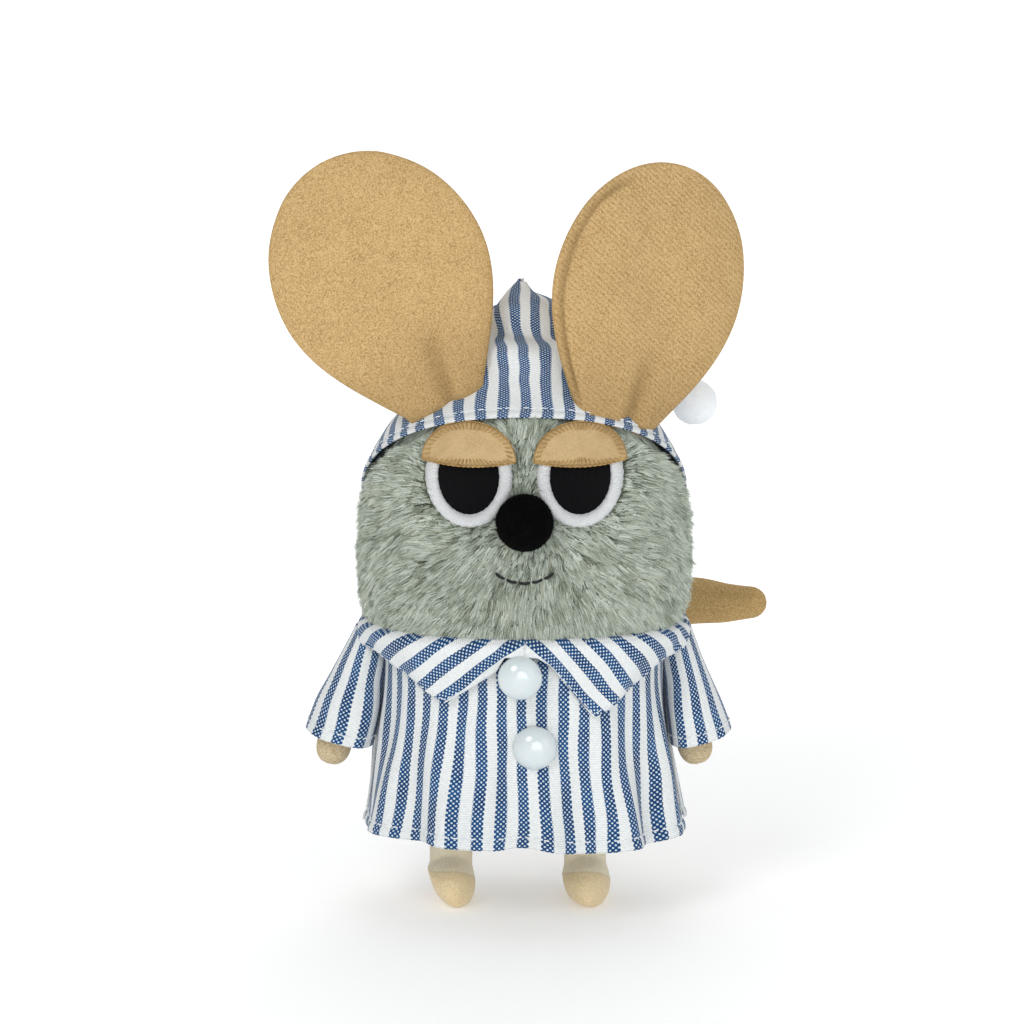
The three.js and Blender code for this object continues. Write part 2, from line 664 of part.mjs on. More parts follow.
const barrelPitch = (BARREL.teeth * BARREL.module) / 2;
const pinionPitch = (CYLINDER.pinion * BARREL.module) / 2;
const wheelPitch = (CYLINDER.wheel * CYLINDER.wheelModule) / 2;
const governorPitch = (GOVERNOR.pinion * CYLINDER.wheelModule) / 2;
const CYLINDER_AT = { x: barrelPitch + pinionPitch + MESH_SLACK, z: 0 };
const governorOut = wheelPitch + governorPitch + MESH_SLACK;
const GOVERNOR_AT = {
  x: CYLINDER_AT.x + governorOut * Math.cos(deg(GOVERNOR.angle)),
  z: governorOut * Math.sin(deg(GOVERNOR.angle)),
};

// A movement piece is built from the bedplate's corner and then put in its place in the body.
function addMovement(name, solid, material) {
  return add(name, shift(solid, MOVE.x, MOVE.front, MOVE.z), material);
}

function pivotHoles(from, to) {
  const hole = (radius, x, z) => rod(radius + ARBOR.clearance, x, z, from, to);
  return hole(ARBOR.winding, 0, 0)
    .add(hole(ARBOR.cylinder, CYLINDER_AT.x, CYLINDER_AT.z))
    .add(hole(ARBOR.governor, GOVERNOR_AT.x, GOVERNOR_AT.z));
}

function addCase() {
  const { left, right, halfHeight, front, back, wall } = CASE;
  const tub = box([left, front, -halfHeight], [right, back, halfHeight]);
  const insideHeight = halfHeight - wall;
  const inside = box([left + wall, front + wall, -insideHeight], [right - wall, back + 5, insideHeight]);
  addMovement("movement_case", tub.subtract(inside), CASE_PLASTIC);
  const lid = box([left, back + GAP, -halfHeight], [right, back + GAP + wall, halfHeight]);
  addMovement("movement_cover", lid.subtract(rod(2.2, 0, 0, back - 1, back + 4)), CASE_PLASTIC);
}

function addFrame() {
  const { left, right, halfHeight, front, back } = PLATE;
  const bed = box([left, front[0], -halfHeight], [right, front[1], halfHeight]);
  const postsAt = [[left + 2, halfHeight - 2], [left + 2, 2 - halfHeight], [right - 2, 2 - halfHeight]];
  let bedplate = bed.subtract(pivotHoles(0, 2));
  for (const [x, z] of postsAt) bedplate = bedplate.add(rod(1.4, x, z, front[1] - 0.2, back[0] - GAP, 16));
  const combSeat = box([right - 6.4, front[1] - 0.2, COMB.height - 4], [right - 1, 16, COMB.height - 0.75]);
  addMovement("bedplate", bedplate.add(combSeat), BRASS);
  const top = box([left, back[0], -halfHeight], [right, back[1], halfHeight]);
  addMovement("back_plate", top.subtract(pivotHoles(back[0] - 1, back[1] + 1)), BRASS);
}

function addBarrel() {
  const { teeth, module, drum, wall, depth, rim } = BARREL;
  const shaftHole = rod(ARBOR.winding + ARBOR.clearance, 0, 0, 0, 20);
  const wheel = gear(teeth, module, rim[0], rim[1]);
  const drumInside = rod(drum - wall, 0, 0, 0, depth[1], 32);
  const drumWall = rod(drum, 0, 0, depth[0], depth[1] + 0.2, 32).subtract(drumInside);
  addMovement("spring_barrel", wheel.add(drumWall).subtract(shaftHole), BRASS);
  const turns = 4;
  const steps = 20;
  const points = [];
  const arm = (i, out) => {
    const angle = (2 * Math.PI * i) / steps;
    const radius = 2.3 + ((drum - wall - 3.2) * i) / (turns * steps) + out;
    return new THREE.Vector2(radius * Math.cos(angle), radius * Math.sin(angle));
  };
  for (let i = 0; i <= turns * steps; i++) points.push(arm(i, 0));
  for (let i = turns * steps; i >= 0; i--) points.push(arm(i, 0.35));
  const ribbon = new THREE.ExtrudeGeometry(new THREE.Shape(points), { depth: 6.6, bevelEnabled: false });
  addMovement("mainspring", solidOf(ribbon).rotate([90, 0, 0]).translate([0, 15.6, 0]), STEEL);
}

function addCylinder() {
  const { pinion, wheel, wheelModule, radius, pinOut, depth } = CYLINDER;
  const half = 180 / pinion; // turns a tooth gap towards the barrel
  const arbor = rod(ARBOR.cylinder, 0, 0, 0.4, 20)
    .add(gear(pinion, BARREL.module, BARREL.rim[0] - 0.2, BARREL.rim[1] + 0.3, half))
    .add(gear(wheel, wheelModule, 2.2, 3.4, GOVERNOR.angle));
  addMovement("cylinder_arbor", shift(arbor, CYLINDER_AT.x, 0, CYLINDER_AT.z), STEEL);
  const bore = rod(ARBOR.cylinder + ARBOR.clearance, 0, 0, 0, 20);
  let drum = rod(radius, 0, 0, depth[0], depth[1], 32).subtract(bore);
  const pitch = (depth[1] - depth[0] - 1) / COMB.teeth;
  for (let i = 0; i < CYLINDER.pins; i++) {
    const note = (i * 7) % COMB.teeth; // a scattered order of notes
    const pin = box([radius - 0.3, -0.14, -0.14], [radius + pinOut, 0.14, 0.14]);
    const turned = pin.rotate([0, (i * 360) / CYLINDER.pins, 0]);
    drum = drum.add(turned.translate([0, depth[0] + 0.8 + note * pitch, 0]));
  }
  addMovement("pin_cylinder", shift(drum, CYLINDER_AT.x, 0, CYLINDER_AT.z), BRASS);
  addComb(radius + pinOut + 0.25, depth[0] + 0.8, pitch);
}

// The comb lies level beside the cylinder, with one tooth to each row of pins.
function addComb(reach, firstTooth, pitch) {
  const tipX = CYLINDER_AT.x + Math.sqrt(reach ** 2 - COMB.height ** 2) + 0.2;
  const low = COMB.height - COMB.thickness / 2;
  const high = COMB.height + COMB.thickness / 2;
  const end = PLATE.right - 1;
  let comb = box([end - 5.4, firstTooth - 0.5, low], [end, firstTooth + pitch * COMB.teeth, high]);
  for (let i = 0; i < COMB.teeth; i++) {
    const y = firstTooth + i * pitch;
    comb = comb.add(box([tipX, y - 0.18, low + 0.15], [end - 5, y + 0.18, high - 0.15]));
  }
  const screwsAt = [firstTooth + 2.2, firstTooth + pitch * COMB.teeth - 2.6];
  for (const y of screwsAt) {
    const hole = solidOf(new THREE.CylinderGeometry(0.9, 0.9, 4, 12)).rotate([90, 0, 0]);
    comb = comb.subtract(shift(hole, end - 2.4, y, COMB.height));
  }
  addMovement("music_comb", comb, STEEL);
  screwsAt.forEach((y, i) => {
    const upright = (radius, height, z) => {
      const made = solidOf(new THREE.CylinderGeometry(radius, radius, height, 12));
      return made.rotate([90, 0, 0]).translate([0, 0, z]);
    };
    const screw = upright(1.5, 0.9, 0.95).add(upright(0.7, 1.2, 0.1));
    addMovement(`comb_screw_${i + 1}`, shift(screw, end - 2.4, y, COMB.height), STEEL);
  });
}

function addGovernor() {
  const { pinion, angle, wing, depth } = GOVERNOR;
  // A tooth gap of the pinion faces the wheel's tooth along the line of centres.
  const phase = angle + 180 + 180 / pinion;
  const fan = box([-wing, depth[0], -0.25], [wing, depth[1], 0.25]);
  const arbor = rod(ARBOR.governor, 0, 0, 0.4, 20, 16)
    .add(gear(pinion, CYLINDER.wheelModule, 2, 3.8, phase))
    .add(rod(0.9, 0, 0, depth[0] - 0.6, depth[1] + 0.6, 12))
    .add(fan);
  addMovement("governor_fan", shift(arbor, GOVERNOR_AT.x, 0, GOVERNOR_AT.z), BRASS);
}

function addWinding() {
  const arborEnd = BODY_Y + 46 - MOVE.front;
  addMovement("winding_arbor", rod(ARBOR.winding, 0, 0, 0.4, arborEnd), STEEL);
  const shape = new THREE.Shape();
  const teeth = 12;
  for (let i = 0; i < teeth; i++) {
    const start = (2 * Math.PI * i) / teeth;
    for (const [share, radius] of [[0, 3.4], [0.85, 4.4]]) {
      const at = start + (share * 2 * Math.PI) / teeth;
      const point = [radius * Math.cos(at), radius * Math.sin(at)];
      if (i + share === 0) shape.moveTo(...point);
      else shape.lineTo(...point);
    }
  }
  const flat = solidOf(new THREE.ExtrudeGeometry(shape, { depth: 1, bevelEnabled: false }));
  const wheel = flat.rotate([90, 0, 0]).translate([0, 21.6, 0]);
  addMovement("ratchet_wheel", wheel.subtract(rod(ARBOR.winding + ARBOR.clearance, 0, 0, 20, 22)), STEEL);
  const click = box([4.75, 20.6, 1.5], [5.75, 21.5, 10]).add(rod(1.6, 5.6, 10, 20.6, 21.5, 14));
  addMovement("click_spring", click, STEEL);
}

function addKey() {
  const start = BODY_Y + 40 - MOVE.front;
  const hub = rod(KEY.hub, 0, 0, start, start + KEY.hubLength, 20);
  const bore = rod(ARBOR.winding + GAP, 0, 0, start - 1, start + 6.6);
  const high = KEY.wingHalfHeight;
  const outerEnd = KEY.wingSpan + 1.6;
  const wing = new THREE.Shape();
  wing.moveTo(0, -2.4);
  wing.bezierCurveTo(4, -2.4, 5, -high, 8.4, -high);
  wing.bezierCurveTo(outerEnd, -high, outerEnd, high, 8.4, high);
  wing.bezierCurveTo(5, high, 4, 2.4, 0, 2.4);
  const eye = new THREE.Path();
  eye.absarc(8.6, 0, 2.7, 0, 2 * Math.PI, true);
  wing.holes.push(eye);
  const settings = { depth: KEY.wingThickness, bevelEnabled: false, curveSegments: 8 };
  const flat = solidOf(new THREE.ExtrudeGeometry(wing, settings)).translate([0, 0, -KEY.wingThickness / 2]);
  // The wings stand along the shaft, one on each side of the hub.
  const middle = start + KEY.hubLength - 4.4;
  const right = shift(flat, 1.5, middle, 0);
  const left = right.mirror([1, 0, 0]);
  addMovement("winding_key", hub.add(right).add(left).subtract(bore), NICKEL);
  const tubeEnd = [4.3, -2.4];
  const flange = [[4.8, -2.4], [4.8, 0], [7.2, 0], [7, 0.6], [5.8, 1.2], [4.3, 0.9]];
  const profile = [tubeEnd, ...flange, tubeEnd];
  const ring = new THREE.LatheGeometry(profile.map(([r, h]) => new THREE.Vector2(r, h)), 20);
  add("key_eyelet", shift(solidOf(ring), MOVE.x, SHIRT_BACK + 0.4, MOVE.z), EYELET_BRASS);
}

addHead();
addFace();
addNightcap();
addTorso();
addNightshirt();
addCollar();
addButtons();
addLimbs();
addCase();
addFrame();
addBarrel();
addCylinder();
addGovernor();
addWinding();
addKey();

// The origin is put on the ground, under the middle of the whole outline.
const bounds = new THREE.Box3().setFromObject(part);
const middle = bounds.getCenter(new THREE.Vector3());
part.position.set(-middle.x, -middle.y, -bounds.min.z);

export default part;
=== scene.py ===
"""The looks of a soft mouse in a striped nightshirt and nightcap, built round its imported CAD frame.

Shapes are worked out in the millimetres of the part's own layout. P() puts them into the row frame in metres.
"""

import math

import bpy
import numpy as np
from mathutils import Matrix, Vector
from mathutils.kdtree import KDTree


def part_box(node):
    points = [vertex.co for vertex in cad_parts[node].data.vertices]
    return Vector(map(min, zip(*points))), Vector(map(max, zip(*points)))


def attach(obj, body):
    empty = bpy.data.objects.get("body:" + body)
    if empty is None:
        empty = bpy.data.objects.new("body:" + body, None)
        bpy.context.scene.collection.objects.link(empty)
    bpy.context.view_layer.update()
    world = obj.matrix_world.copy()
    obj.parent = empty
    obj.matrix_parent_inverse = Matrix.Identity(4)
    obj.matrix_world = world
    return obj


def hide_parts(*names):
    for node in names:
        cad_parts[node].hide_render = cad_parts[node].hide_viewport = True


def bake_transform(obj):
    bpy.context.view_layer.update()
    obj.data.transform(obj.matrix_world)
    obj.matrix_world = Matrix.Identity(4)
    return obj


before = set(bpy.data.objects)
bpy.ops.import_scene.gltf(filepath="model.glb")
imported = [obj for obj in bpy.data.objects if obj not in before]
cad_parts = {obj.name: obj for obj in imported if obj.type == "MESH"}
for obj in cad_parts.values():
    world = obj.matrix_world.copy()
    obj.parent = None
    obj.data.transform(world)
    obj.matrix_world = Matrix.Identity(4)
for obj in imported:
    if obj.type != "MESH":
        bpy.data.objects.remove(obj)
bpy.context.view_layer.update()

MM = 0.001
TAU = 2 * math.pi
BODY_Y = -4.0
FRONT = -math.pi / 2
rng = np.random.default_rng(7)

low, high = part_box("head")
SHIFT = np.array([(low.x + high.x) / 2, (low.y + high.y) / 2 - BODY_Y * MM, 0.0])


def P(points):
    """Layout millimetres to row frame metres."""
    return np.asarray(points, float) * MM + SHIFT


# ---------------------------------------------------------------- camera and lights

AIM = Vector(P((-3.35, 0.26, 110.6)))
DISTANCE = 0.9
ELEVATION = 10
WIDTH_SEEN = 0.2867  # metres across the picture, at the distance of the aim


def look_from(azimuth, elevation, distance):
    a, e = math.radians(azimuth), math.radians(elevation)
    return AIM + distance * Vector(
        (math.sin(a) * math.cos(e), -math.cos(a) * math.cos(e), math.sin(e))
    )


def point_at(obj, target):
    obj.rotation_mode = "QUATERNION"
    obj.rotation_quaternion = (target - obj.location).to_track_quat("-Z", "Y")


def make_camera():
    data = bpy.data.cameras.new("camera")
    data.sensor_width = 36
    data.lens = 36 * DISTANCE / WIDTH_SEEN
    data.clip_start, data.clip_end = 0.01, 20
    camera = bpy.data.objects.new("camera", data)
    camera.location = look_from(0, ELEVATION, DISTANCE)
    point_at(camera, AIM)
    bpy.context.scene.collection.objects.link(camera)
    bpy.context.scene.camera = camera


def area_light(name, azimuth, elevation, distance, size, power, colour=(1, 1, 1)):
    data = bpy.data.lights.new(name, "AREA")
    data.shape = "DISK"
    data.size = size
    data.energy = power
    data.color = colour
    light = bpy.data.objects.new(name, data)
    light.location = look_from(azimuth, elevation, distance)
    point_at(light, AIM)
    bpy.context.scene.collection.objects.link(light)


make_camera()
bpy.context.scene.view_settings.view_transform = "Standard"
area_light("key", -28, 34, 0.9, 0.4, 2.2, (1.0, 0.985, 0.965))
area_light("fill", 48, 16, 1.0, 0.7, 1.0, (0.95, 0.975, 1.0))
area_light("front", 8, 1, 0.9, 0.5, 2.3)
area_light("rim", 170, 48, 0.9, 0.6, 1.2)
world = bpy.data.worlds.new("studio")
world.use_nodes = True
world.node_tree.nodes["Background"].inputs["Color"].default_value = (0.97, 0.985, 1.0, 1)
world.node_tree.nodes["Background"].inputs["Strength"].default_value = 0.5
bpy.context.scene.world = world


# ---------------------------------------------------------------- materials


def srgb(r, g, b):
    """An sRGB colour of 0 to 255 as linear light."""
    return tuple(
        c / 12.92 if c <= 0.04045 else ((c + 0.055) / 1.055) ** 2.4
        for c in (v / 255 for v in (r, g, b))
    )


class Graph:
    """A node material that is put together with short calls. A value is a number, a colour or a socket."""

    def __init__(self, name, roughness=0.9, **settings):
        self.material = bpy.data.materials.new(name)
        self.material.use_nodes = True
        self.tree = self.material.node_tree
        self.bsdf = self.tree.nodes["Principled BSDF"]
        self.bsdf.inputs["Roughness"].default_value = roughness
        for key, value in settings.items():
            self.bsdf.inputs[key.replace("_", " ")].default_value = value

    def put(self, socket, value):
        if isinstance(value, bpy.types.NodeSocket):
            self.tree.links.new(value, socket)
        elif isinstance(value, (tuple, list)) and len(value) == 3 and socket.type == "RGBA":
            socket.default_value = (*value, 1)
        else:
            socket.default_value = value

    def node(self, kind, inputs=(), **props):
        made = self.tree.nodes.new(kind)
        for key, value in props.items():
            setattr(made, key, value)
        for key, value in dict(inputs).items():
            self.put(made.inputs[key], value)
        return made

    def math(self, operation, a, b=0.0, c=0.0):
        return self.node("ShaderNodeMath", {0: a, 1: b, 2: c}, operation=operation).outputs[0]

    def mix(self, share, a, b):
        made = self.node("ShaderNodeMix", {0: share, 6: a, 7: b}, data_type="RGBA")
        return made.outputs[2]

    def span(self, value, low, high, to_low=0.0, to_high=1.0):
        inputs = {"Value": value, "From Min": low, "From Max": high, "To Min": to_low, "To Max": to_high}
        return self.node("ShaderNodeMapRange", inputs).outputs[0]

    def place(self):
        return self.node("ShaderNodeTexCoord").outputs["Object"]

    def flat(self):
        return self.node("ShaderNodeUVMap", uv_map="flat").outputs[0]

    def apart(self, vector):
        return self.node("ShaderNodeSeparateXYZ", {0: vector}).outputs

    def noise(self, vector, size, detail=2.0, rough=0.5, stretch=(1, 1, 1)):
        """Noise whose features are about this size, in metres."""
        scaled = self.node("ShaderNodeMapping", {"Vector": vector, "Scale": stretch})
        inputs = {"Vector": scaled.outputs[0], "Scale": 1 / size, "Detail": detail, "Roughness": rough}
        return self.node("ShaderNodeTexNoise", inputs).outputs[0]

    def attribute(self, name):
        return self.node("ShaderNodeAttribute", attribute_name=name).outputs["Fac"]

    def finish(self, colour, height=None, relief=0.0001, strength=1.0, roughness=None):
        self.put(self.bsdf.inputs["Base Color"], colour)
        if roughness is not None:
            self.put(self.bsdf.inputs["Roughness"], roughness)
        if height is not None:
            bump = self.node("ShaderNodeBump", {"Height": height, "Distance": relief, "Strength": strength})
            self.put(self.bsdf.inputs["Normal"], bump.outputs[0])
        return self.material


STRIPE = 5.88 * MM
CHECK = 1.3 * MM  # the white dots of the blue stripes stand in staggered rows this far apart
NAVY = srgb(6, 52, 100)
FADED_NAVY = srgb(22, 80, 132)
COTTON_WHITE = srgb(231, 234, 234)


def striped_cotton(name, phase=0.0):
    """Blue stripes run along v. Each is navy warp crossed by white weft, which shows as small diamonds."""
    g = Graph(name, roughness=0.88, Sheen_Weight=0.08, Specular_IOR_Level=0.2)
    uv = g.flat()
    u, v, _ = g.apart(uv)
    wander = g.math("MULTIPLY_ADD", g.noise(uv, 26 * MM, 1.0), 0.004, -0.002)
    warp = g.math("ADD", u, wander)
    a = g.math("COSINE", g.math("MULTIPLY", warp, TAU / CHECK))
    b = g.math("COSINE", g.math("MULTIPLY", v, TAU / CHECK))
    woven = g.math("MULTIPLY", a, b)
    thread_edge = g.math("MULTIPLY_ADD", b, 0.0001, g.math("MULTIPLY", g.noise(uv, 0.5 * MM, 1.0), 0.0002))
    share = g.math("FRACT", g.math("MULTIPLY_ADD", g.math("ADD", warp, thread_edge), 1 / STRIPE, phase + 0.48))
    from_centre = g.math("ABSOLUTE", g.math("SUBTRACT", share, 0.5))
    blue = g.span(from_centre, 0.262, 0.245)
    uneven = g.math("MULTIPLY_ADD", g.noise(uv, 0.7 * MM, 1.0), 0.5, -0.25)
    dots = g.span(g.math("ADD", woven, uneven), 0.12, 0.75)
    faded = g.noise(uv, 9 * MM, 3.0)
    navy = g.mix(g.span(faded, 0.35, 0.75), NAVY, FADED_NAVY)
    blue_cloth = g.mix(dots, navy, srgb(206, 221, 230))
    weft = g.math("COSINE", g.math("MULTIPLY", v, 2.8 * TAU / CHECK))
    loose = g.math("MULTIPLY_ADD", g.noise(uv, 0.8 * MM, 2.0), 2.4, -1.2)
    # The grey lines between weft threads are painted shade in the grooves between them; the noise adds tone at
    # random.
    white_cloth = g.mix(g.span(g.math("ADD", weft, loose), -1.1, 0.3), srgb(204, 208, 209), COTTON_WHITE)
    colour = g.mix(blue, white_cloth, blue_cloth)
    height = g.math("MULTIPLY_ADD", g.noise(uv, 0.3 * MM), 0.8, g.math("MULTIPLY_ADD", weft, 0.4, woven))
    return g.finish(colour, height, relief=0.00012, strength=0.5)


def pile_cloth(name, light, middle, dark, speck=0.45 * MM, relief=0.0002, rib=None, sheen=0.12):
    """Short-piled cloth: velour or suede, with specks where the pile parts and a softly mottled nap."""
    g = Graph(name, roughness=0.95, Sheen_Weight=sheen, Sheen_Roughness=0.5, Specular_IOR_Level=0.15)
    g.bsdf.inputs["Sheen Tint"].default_value = (*light, 1)
    place = g.place()
    specks = g.noise(place, speck, 3.0, 0.65)
    nap = g.noise(place, 7 * MM, 3.0, 0.55)
    tone = g.math("ADD", g.math("MULTIPLY", specks, 0.9), g.math("MULTIPLY", nap, 0.1))
    height = specks
    if rib:
        direction, pitch, depth = rib
        dot = g.node("ShaderNodeVectorMath", {0: place, 1: direction}, operation="DOT_PRODUCT")
        bent = g.math("MULTIPLY_ADD", g.noise(place, 3 * MM), 0.0006, dot.outputs["Value"])
        ribs = g.math("SINE", g.math("MULTIPLY", bent, TAU / pitch))
        tone = g.math("MULTIPLY_ADD", ribs, depth, tone)
        height = g.math("MULTIPLY_ADD", ribs, 0.35, specks)
    low_mix = g.mix(g.span(tone, 0.36, 0.5), dark, middle)
    colour = g.mix(g.span(tone, 0.5, 0.64), low_mix, light)
    # Where the seam attribute is set, the colour darkens towards a deep tan: painted shade in seam grooves, at
    # ear roots and in the dart.
    colour = g.mix(g.attribute("seam"), colour, tuple(0.45 * c for c in dark))
    return g.finish(colour, height, relief=relief, strength=0.7)


def toe_cloth(name):
    """The legs' pile cloth: a greyer shaft and a warmer toe, with the seam between them in shade."""
    g = Graph(name, roughness=0.95, Sheen_Weight=0.3, Specular_IOR_Level=0.15)
    place = g.place()
    specks = g.noise(place, 0.4 * MM, 3.0, 0.65)
    shaft = g.mix(g.span(specks, 0.3, 0.7), srgb(216, 203, 172), srgb(240, 231, 206))
    tan = g.mix(g.span(specks, 0.3, 0.7), srgb(206, 182, 138), srgb(238, 219, 180))
    body = g.mix(g.attribute("toe"), shaft, tan)
    colour = g.mix(g.math("MULTIPLY", g.attribute("seam"), 0.3), body, srgb(160, 138, 102))
    return g.finish(colour, specks, relief=0.0002, strength=0.7)


def thread(name, light, dark, pitch, roughness=0.5, sheen=0.2, specular=0.5):
    """Satin stitch: rows of thread side by side, one every pitch."""
    g = Graph(name, roughness=roughness, Sheen_Weight=sheen, Specular_IOR_Level=specular)
    uv = g.flat()
    across = g.apart(uv)[0]
    bent = g.math("MULTIPLY_ADD", g.noise(uv, 1.3 * MM), 0.0005, across)
    rows = g.math("SINE", g.math("MULTIPLY", bent, TAU / pitch))
    loose = g.noise(uv, 0.5 * MM, 2.0)
    # The dark tone between the rows is painted shade in the grooves between threads; the noise adds tone at
    # random.
    tone = g.math("ADD", g.math("MULTIPLY_ADD", rows, 0.22, 0.1), loose)
    colour = g.mix(g.span(tone, 0.25, 0.85), dark, light)
    return g.finish(colour, g.math("MULTIPLY_ADD", loose, 0.7, rows), relief=0.00018, strength=0.8)


def speckled(name, light, dark, size=0.5 * MM, roughness=0.8, relief=0.0001, stretch=(1, 1, 1), **settings):
    """A surface with two close tones in fine grain: felt, plastic, flock, stuffing or metal."""
    g = Graph(name, roughness=roughness, **settings)
    place = g.place()
    grain = g.noise(place, size, 3.0, 0.6, stretch)
    broad = g.noise(place, size * 14, 2.0)
    tone = g.math("ADD", g.math("MULTIPLY", grain, 0.65), g.math("MULTIPLY", broad, 0.35))
    colour = g.mix(g.span(tone, 0.32, 0.68), dark, light)
    rough = g.span(grain, 0.3, 0.7, max(0.05, roughness - 0.07), min(1, roughness + 0.07))
    return g.finish(colour, grain, relief=relief, strength=0.6, roughness=rough)


def plain(name, colour, roughness=0.75):
    """One strand's colour. The many strands of different tones make the fur's pattern."""
    g = Graph(name, roughness=roughness, Sheen_Weight=0.25, Specular_IOR_Level=0.2)
    return g.finish(colour)


def metal(name, light, dark, roughness, size=0.8 * MM, stretch=(1, 1, 1)):
    return speckled(name, light, dark, size, roughness, 0.00002, stretch, Metallic=1.0)


EAR_TAN = dict(light=srgb(208, 178, 128), middle=srgb(192, 160, 110), dark=srgb(158, 125, 78))
mat_left_ear = pile_cloth("velour_left", **EAR_TAN)
mat_right_ear = pile_cloth("velour_right", rib=((0.62, 0.2, 0.75), 1.25 * MM, 0.035), **EAR_TAN)
mat_tail = pile_cloth("suede_tail", srgb(204, 174, 122), srgb(184, 152, 100), srgb(152, 122, 76), 0.4 * MM)
mat_hand = pile_cloth("suede_hand", srgb(214, 198, 166), srgb(196, 178, 144), srgb(156, 134, 98), 0.4 * MM)
mat_leg = toe_cloth("suede_leg")
mat_cloth = striped_cotton("striped_cotton")
mat_cloth_slant = striped_cotton("striped_cotton_slant", phase=0.5)
mat_skin = speckled("fur_backing", srgb(122, 128, 112), srgb(92, 98, 84), 0.8 * MM, 0.95, 0.0003)
mat_ring = thread("satin_white", srgb(252, 253, 253), srgb(224, 229, 232), 0.4 * MM)
mat_pupil = thread("satin_black", srgb(12, 12, 16), srgb(1, 1, 2), 0.42 * MM, 0.6, sheen=0.0, specular=0.12)
mat_felt = speckled(
    "tan_felt", srgb(205, 178, 134), srgb(176, 148, 102), 0.5 * MM, 0.95, 0.0002, Sheen_Weight=0.1,
)
mat_gold = speckled("gold_thread", srgb(200, 164, 100), srgb(132, 98, 46), 0.3 * MM, 0.6, 0.0001)
mat_white_thread = speckled("white_thread", srgb(246, 248, 250), srgb(206, 214, 220), 0.25 * MM, 0.7, 0.0001)
mat_black_thread = speckled("black_thread", srgb(30, 30, 34), srgb(6, 6, 8), 0.3 * MM, 0.7, 0.0001)
mat_nose = speckled(
    "black_flock", srgb(10, 10, 11), srgb(1, 1, 2), 0.35 * MM, 0.98, 0.0003, Specular_IOR_Level=0.05,
)
mat_pompom = speckled(
    "white_pile", srgb(250, 252, 253), srgb(236, 241, 245), 0.5 * MM, 0.8, 0.0001, Sheen_Weight=0.2,
)
mat_button = speckled(
    "button_plastic", srgb(210, 219, 221), srgb(203, 213, 216), 2.5 * MM, 0.12, 0.00001,
    Coat_Weight=0.6, Coat_Roughness=0.05, Subsurface_Weight=0.15, Subsurface_Scale=0.002,
)
mat_cover = speckled("white_jersey", srgb(226, 222, 210), srgb(188, 182, 168), 0.7 * MM, 0.95, 0.0002)
mat_case = speckled("case_plastic", srgb(232, 229, 218), srgb(220, 216, 203), 0.4 * MM, 0.45, 0.00003)
mat_brass = metal("brass", srgb(214, 178, 98), srgb(178, 138, 64), 0.3)
mat_eyelet = metal("eyelet_brass", srgb(220, 186, 110), srgb(170, 130, 62), 0.34, 0.6 * MM)
mat_steel = metal("steel", srgb(184, 186, 190), srgb(142, 144, 150), 0.34, 0.5 * MM, (1, 6, 1))
mat_nickel = metal("nickel", srgb(224, 224, 222), srgb(188, 188, 188), 0.2, 0.9 * MM)
# The darkest tone, for the strands' roots, is painted shade deep in the pile.
FUR_TONES = [
    ("fur_root_shade", (82, 88, 72)),
    ("fur_shade", (116, 124, 107)),
    ("fur_middle", (149, 158, 142)),
    ("fur_light", (180, 189, 174)),
    ("fur_tip", (208, 216, 205)),
    ("fur_warm", (184, 186, 158)),
]
mats_fur = [plain(name, srgb(*rgb)) for name, rgb in FUR_TONES]


# ---------------------------------------------------------------- mesh tools


def make_object(name, points, quads, materials, uv=None, slots=None, attributes=None):
    """A mesh from layout points and quads (a repeated last corner makes a triangle)."""
    mesh = bpy.data.meshes.new(name)
    points = P(points)
    quads = np.asarray(quads, np.int32)
    is_tri = quads[:, 2] == quads[:, 3]
    counts = np.where(is_tri, 3, 4).astype(np.int32)
    keep = np.ones(quads.shape, bool)
    keep[is_tri, 3] = False
    corners = quads[keep]
    mesh.vertices.add(len(points))
    mesh.vertices.foreach_set("co", points.astype(np.float32).ravel())
    mesh.loops.add(len(corners))
    mesh.loops.foreach_set("vertex_index", corners)
    mesh.polygons.add(len(quads))
    starts = np.concatenate([[0], np.cumsum(counts)[:-1]])
    mesh.polygons.foreach_set("loop_start", starts.astype(np.int32))
    mesh.polygons.foreach_set("loop_total", counts)
    if slots is not None:
        mesh.polygons.foreach_set("material_index", np.asarray(slots, np.int32))
    mesh.polygons.foreach_set("use_smooth", np.ones(len(quads), bool))
    if uv is not None:
        layer = mesh.uv_layers.new(name="flat")
        layer.data.foreach_set("uv", np.asarray(uv, np.float32)[keep].ravel())
    for key, values in (attributes or {}).items():
        layer = mesh.attributes.new(key, "FLOAT", "POINT")
        layer.data.foreach_set("value", np.asarray(values, np.float32))
    for material in materials:
        mesh.materials.append(material)
    mesh.update(calc_edges=True)
    mesh.validate()
    obj = bpy.data.objects.new(name, mesh)
    bpy.context.scene.collection.objects.link(obj)
    return obj


def grid_faces(rows, columns, wrap=False, flip=False):
    """Quads over a grid of points, and the grid places of their corners for its uv."""
    across = columns if wrap else columns - 1
    r, c = np.meshgrid(np.arange(rows - 1), np.arange(across), indexing="ij")
    r, c = r.ravel(), c.ravel()
    corner_r = np.stack([r, r, r + 1, r + 1], 1)
    corner_c = np.stack([c, c + 1, c + 1, c], 1)
    if flip:
        corner_r, corner_c = corner_r[:, ::-1], corner_c[:, ::-1]
    index = corner_r * columns + corner_c % columns
    return index, corner_r, corner_c


def grid_object(name, points, material, uv, wrap=False, flip=False):
    """An open surface over a grid of layout points. uv has one more column than points when it wraps."""
    rows, columns = points.shape[:2]
    index, r, c = grid_faces(rows, columns, wrap, flip)
    return make_object(name, points.reshape(-1, 3), index, [material], uv[r, c])


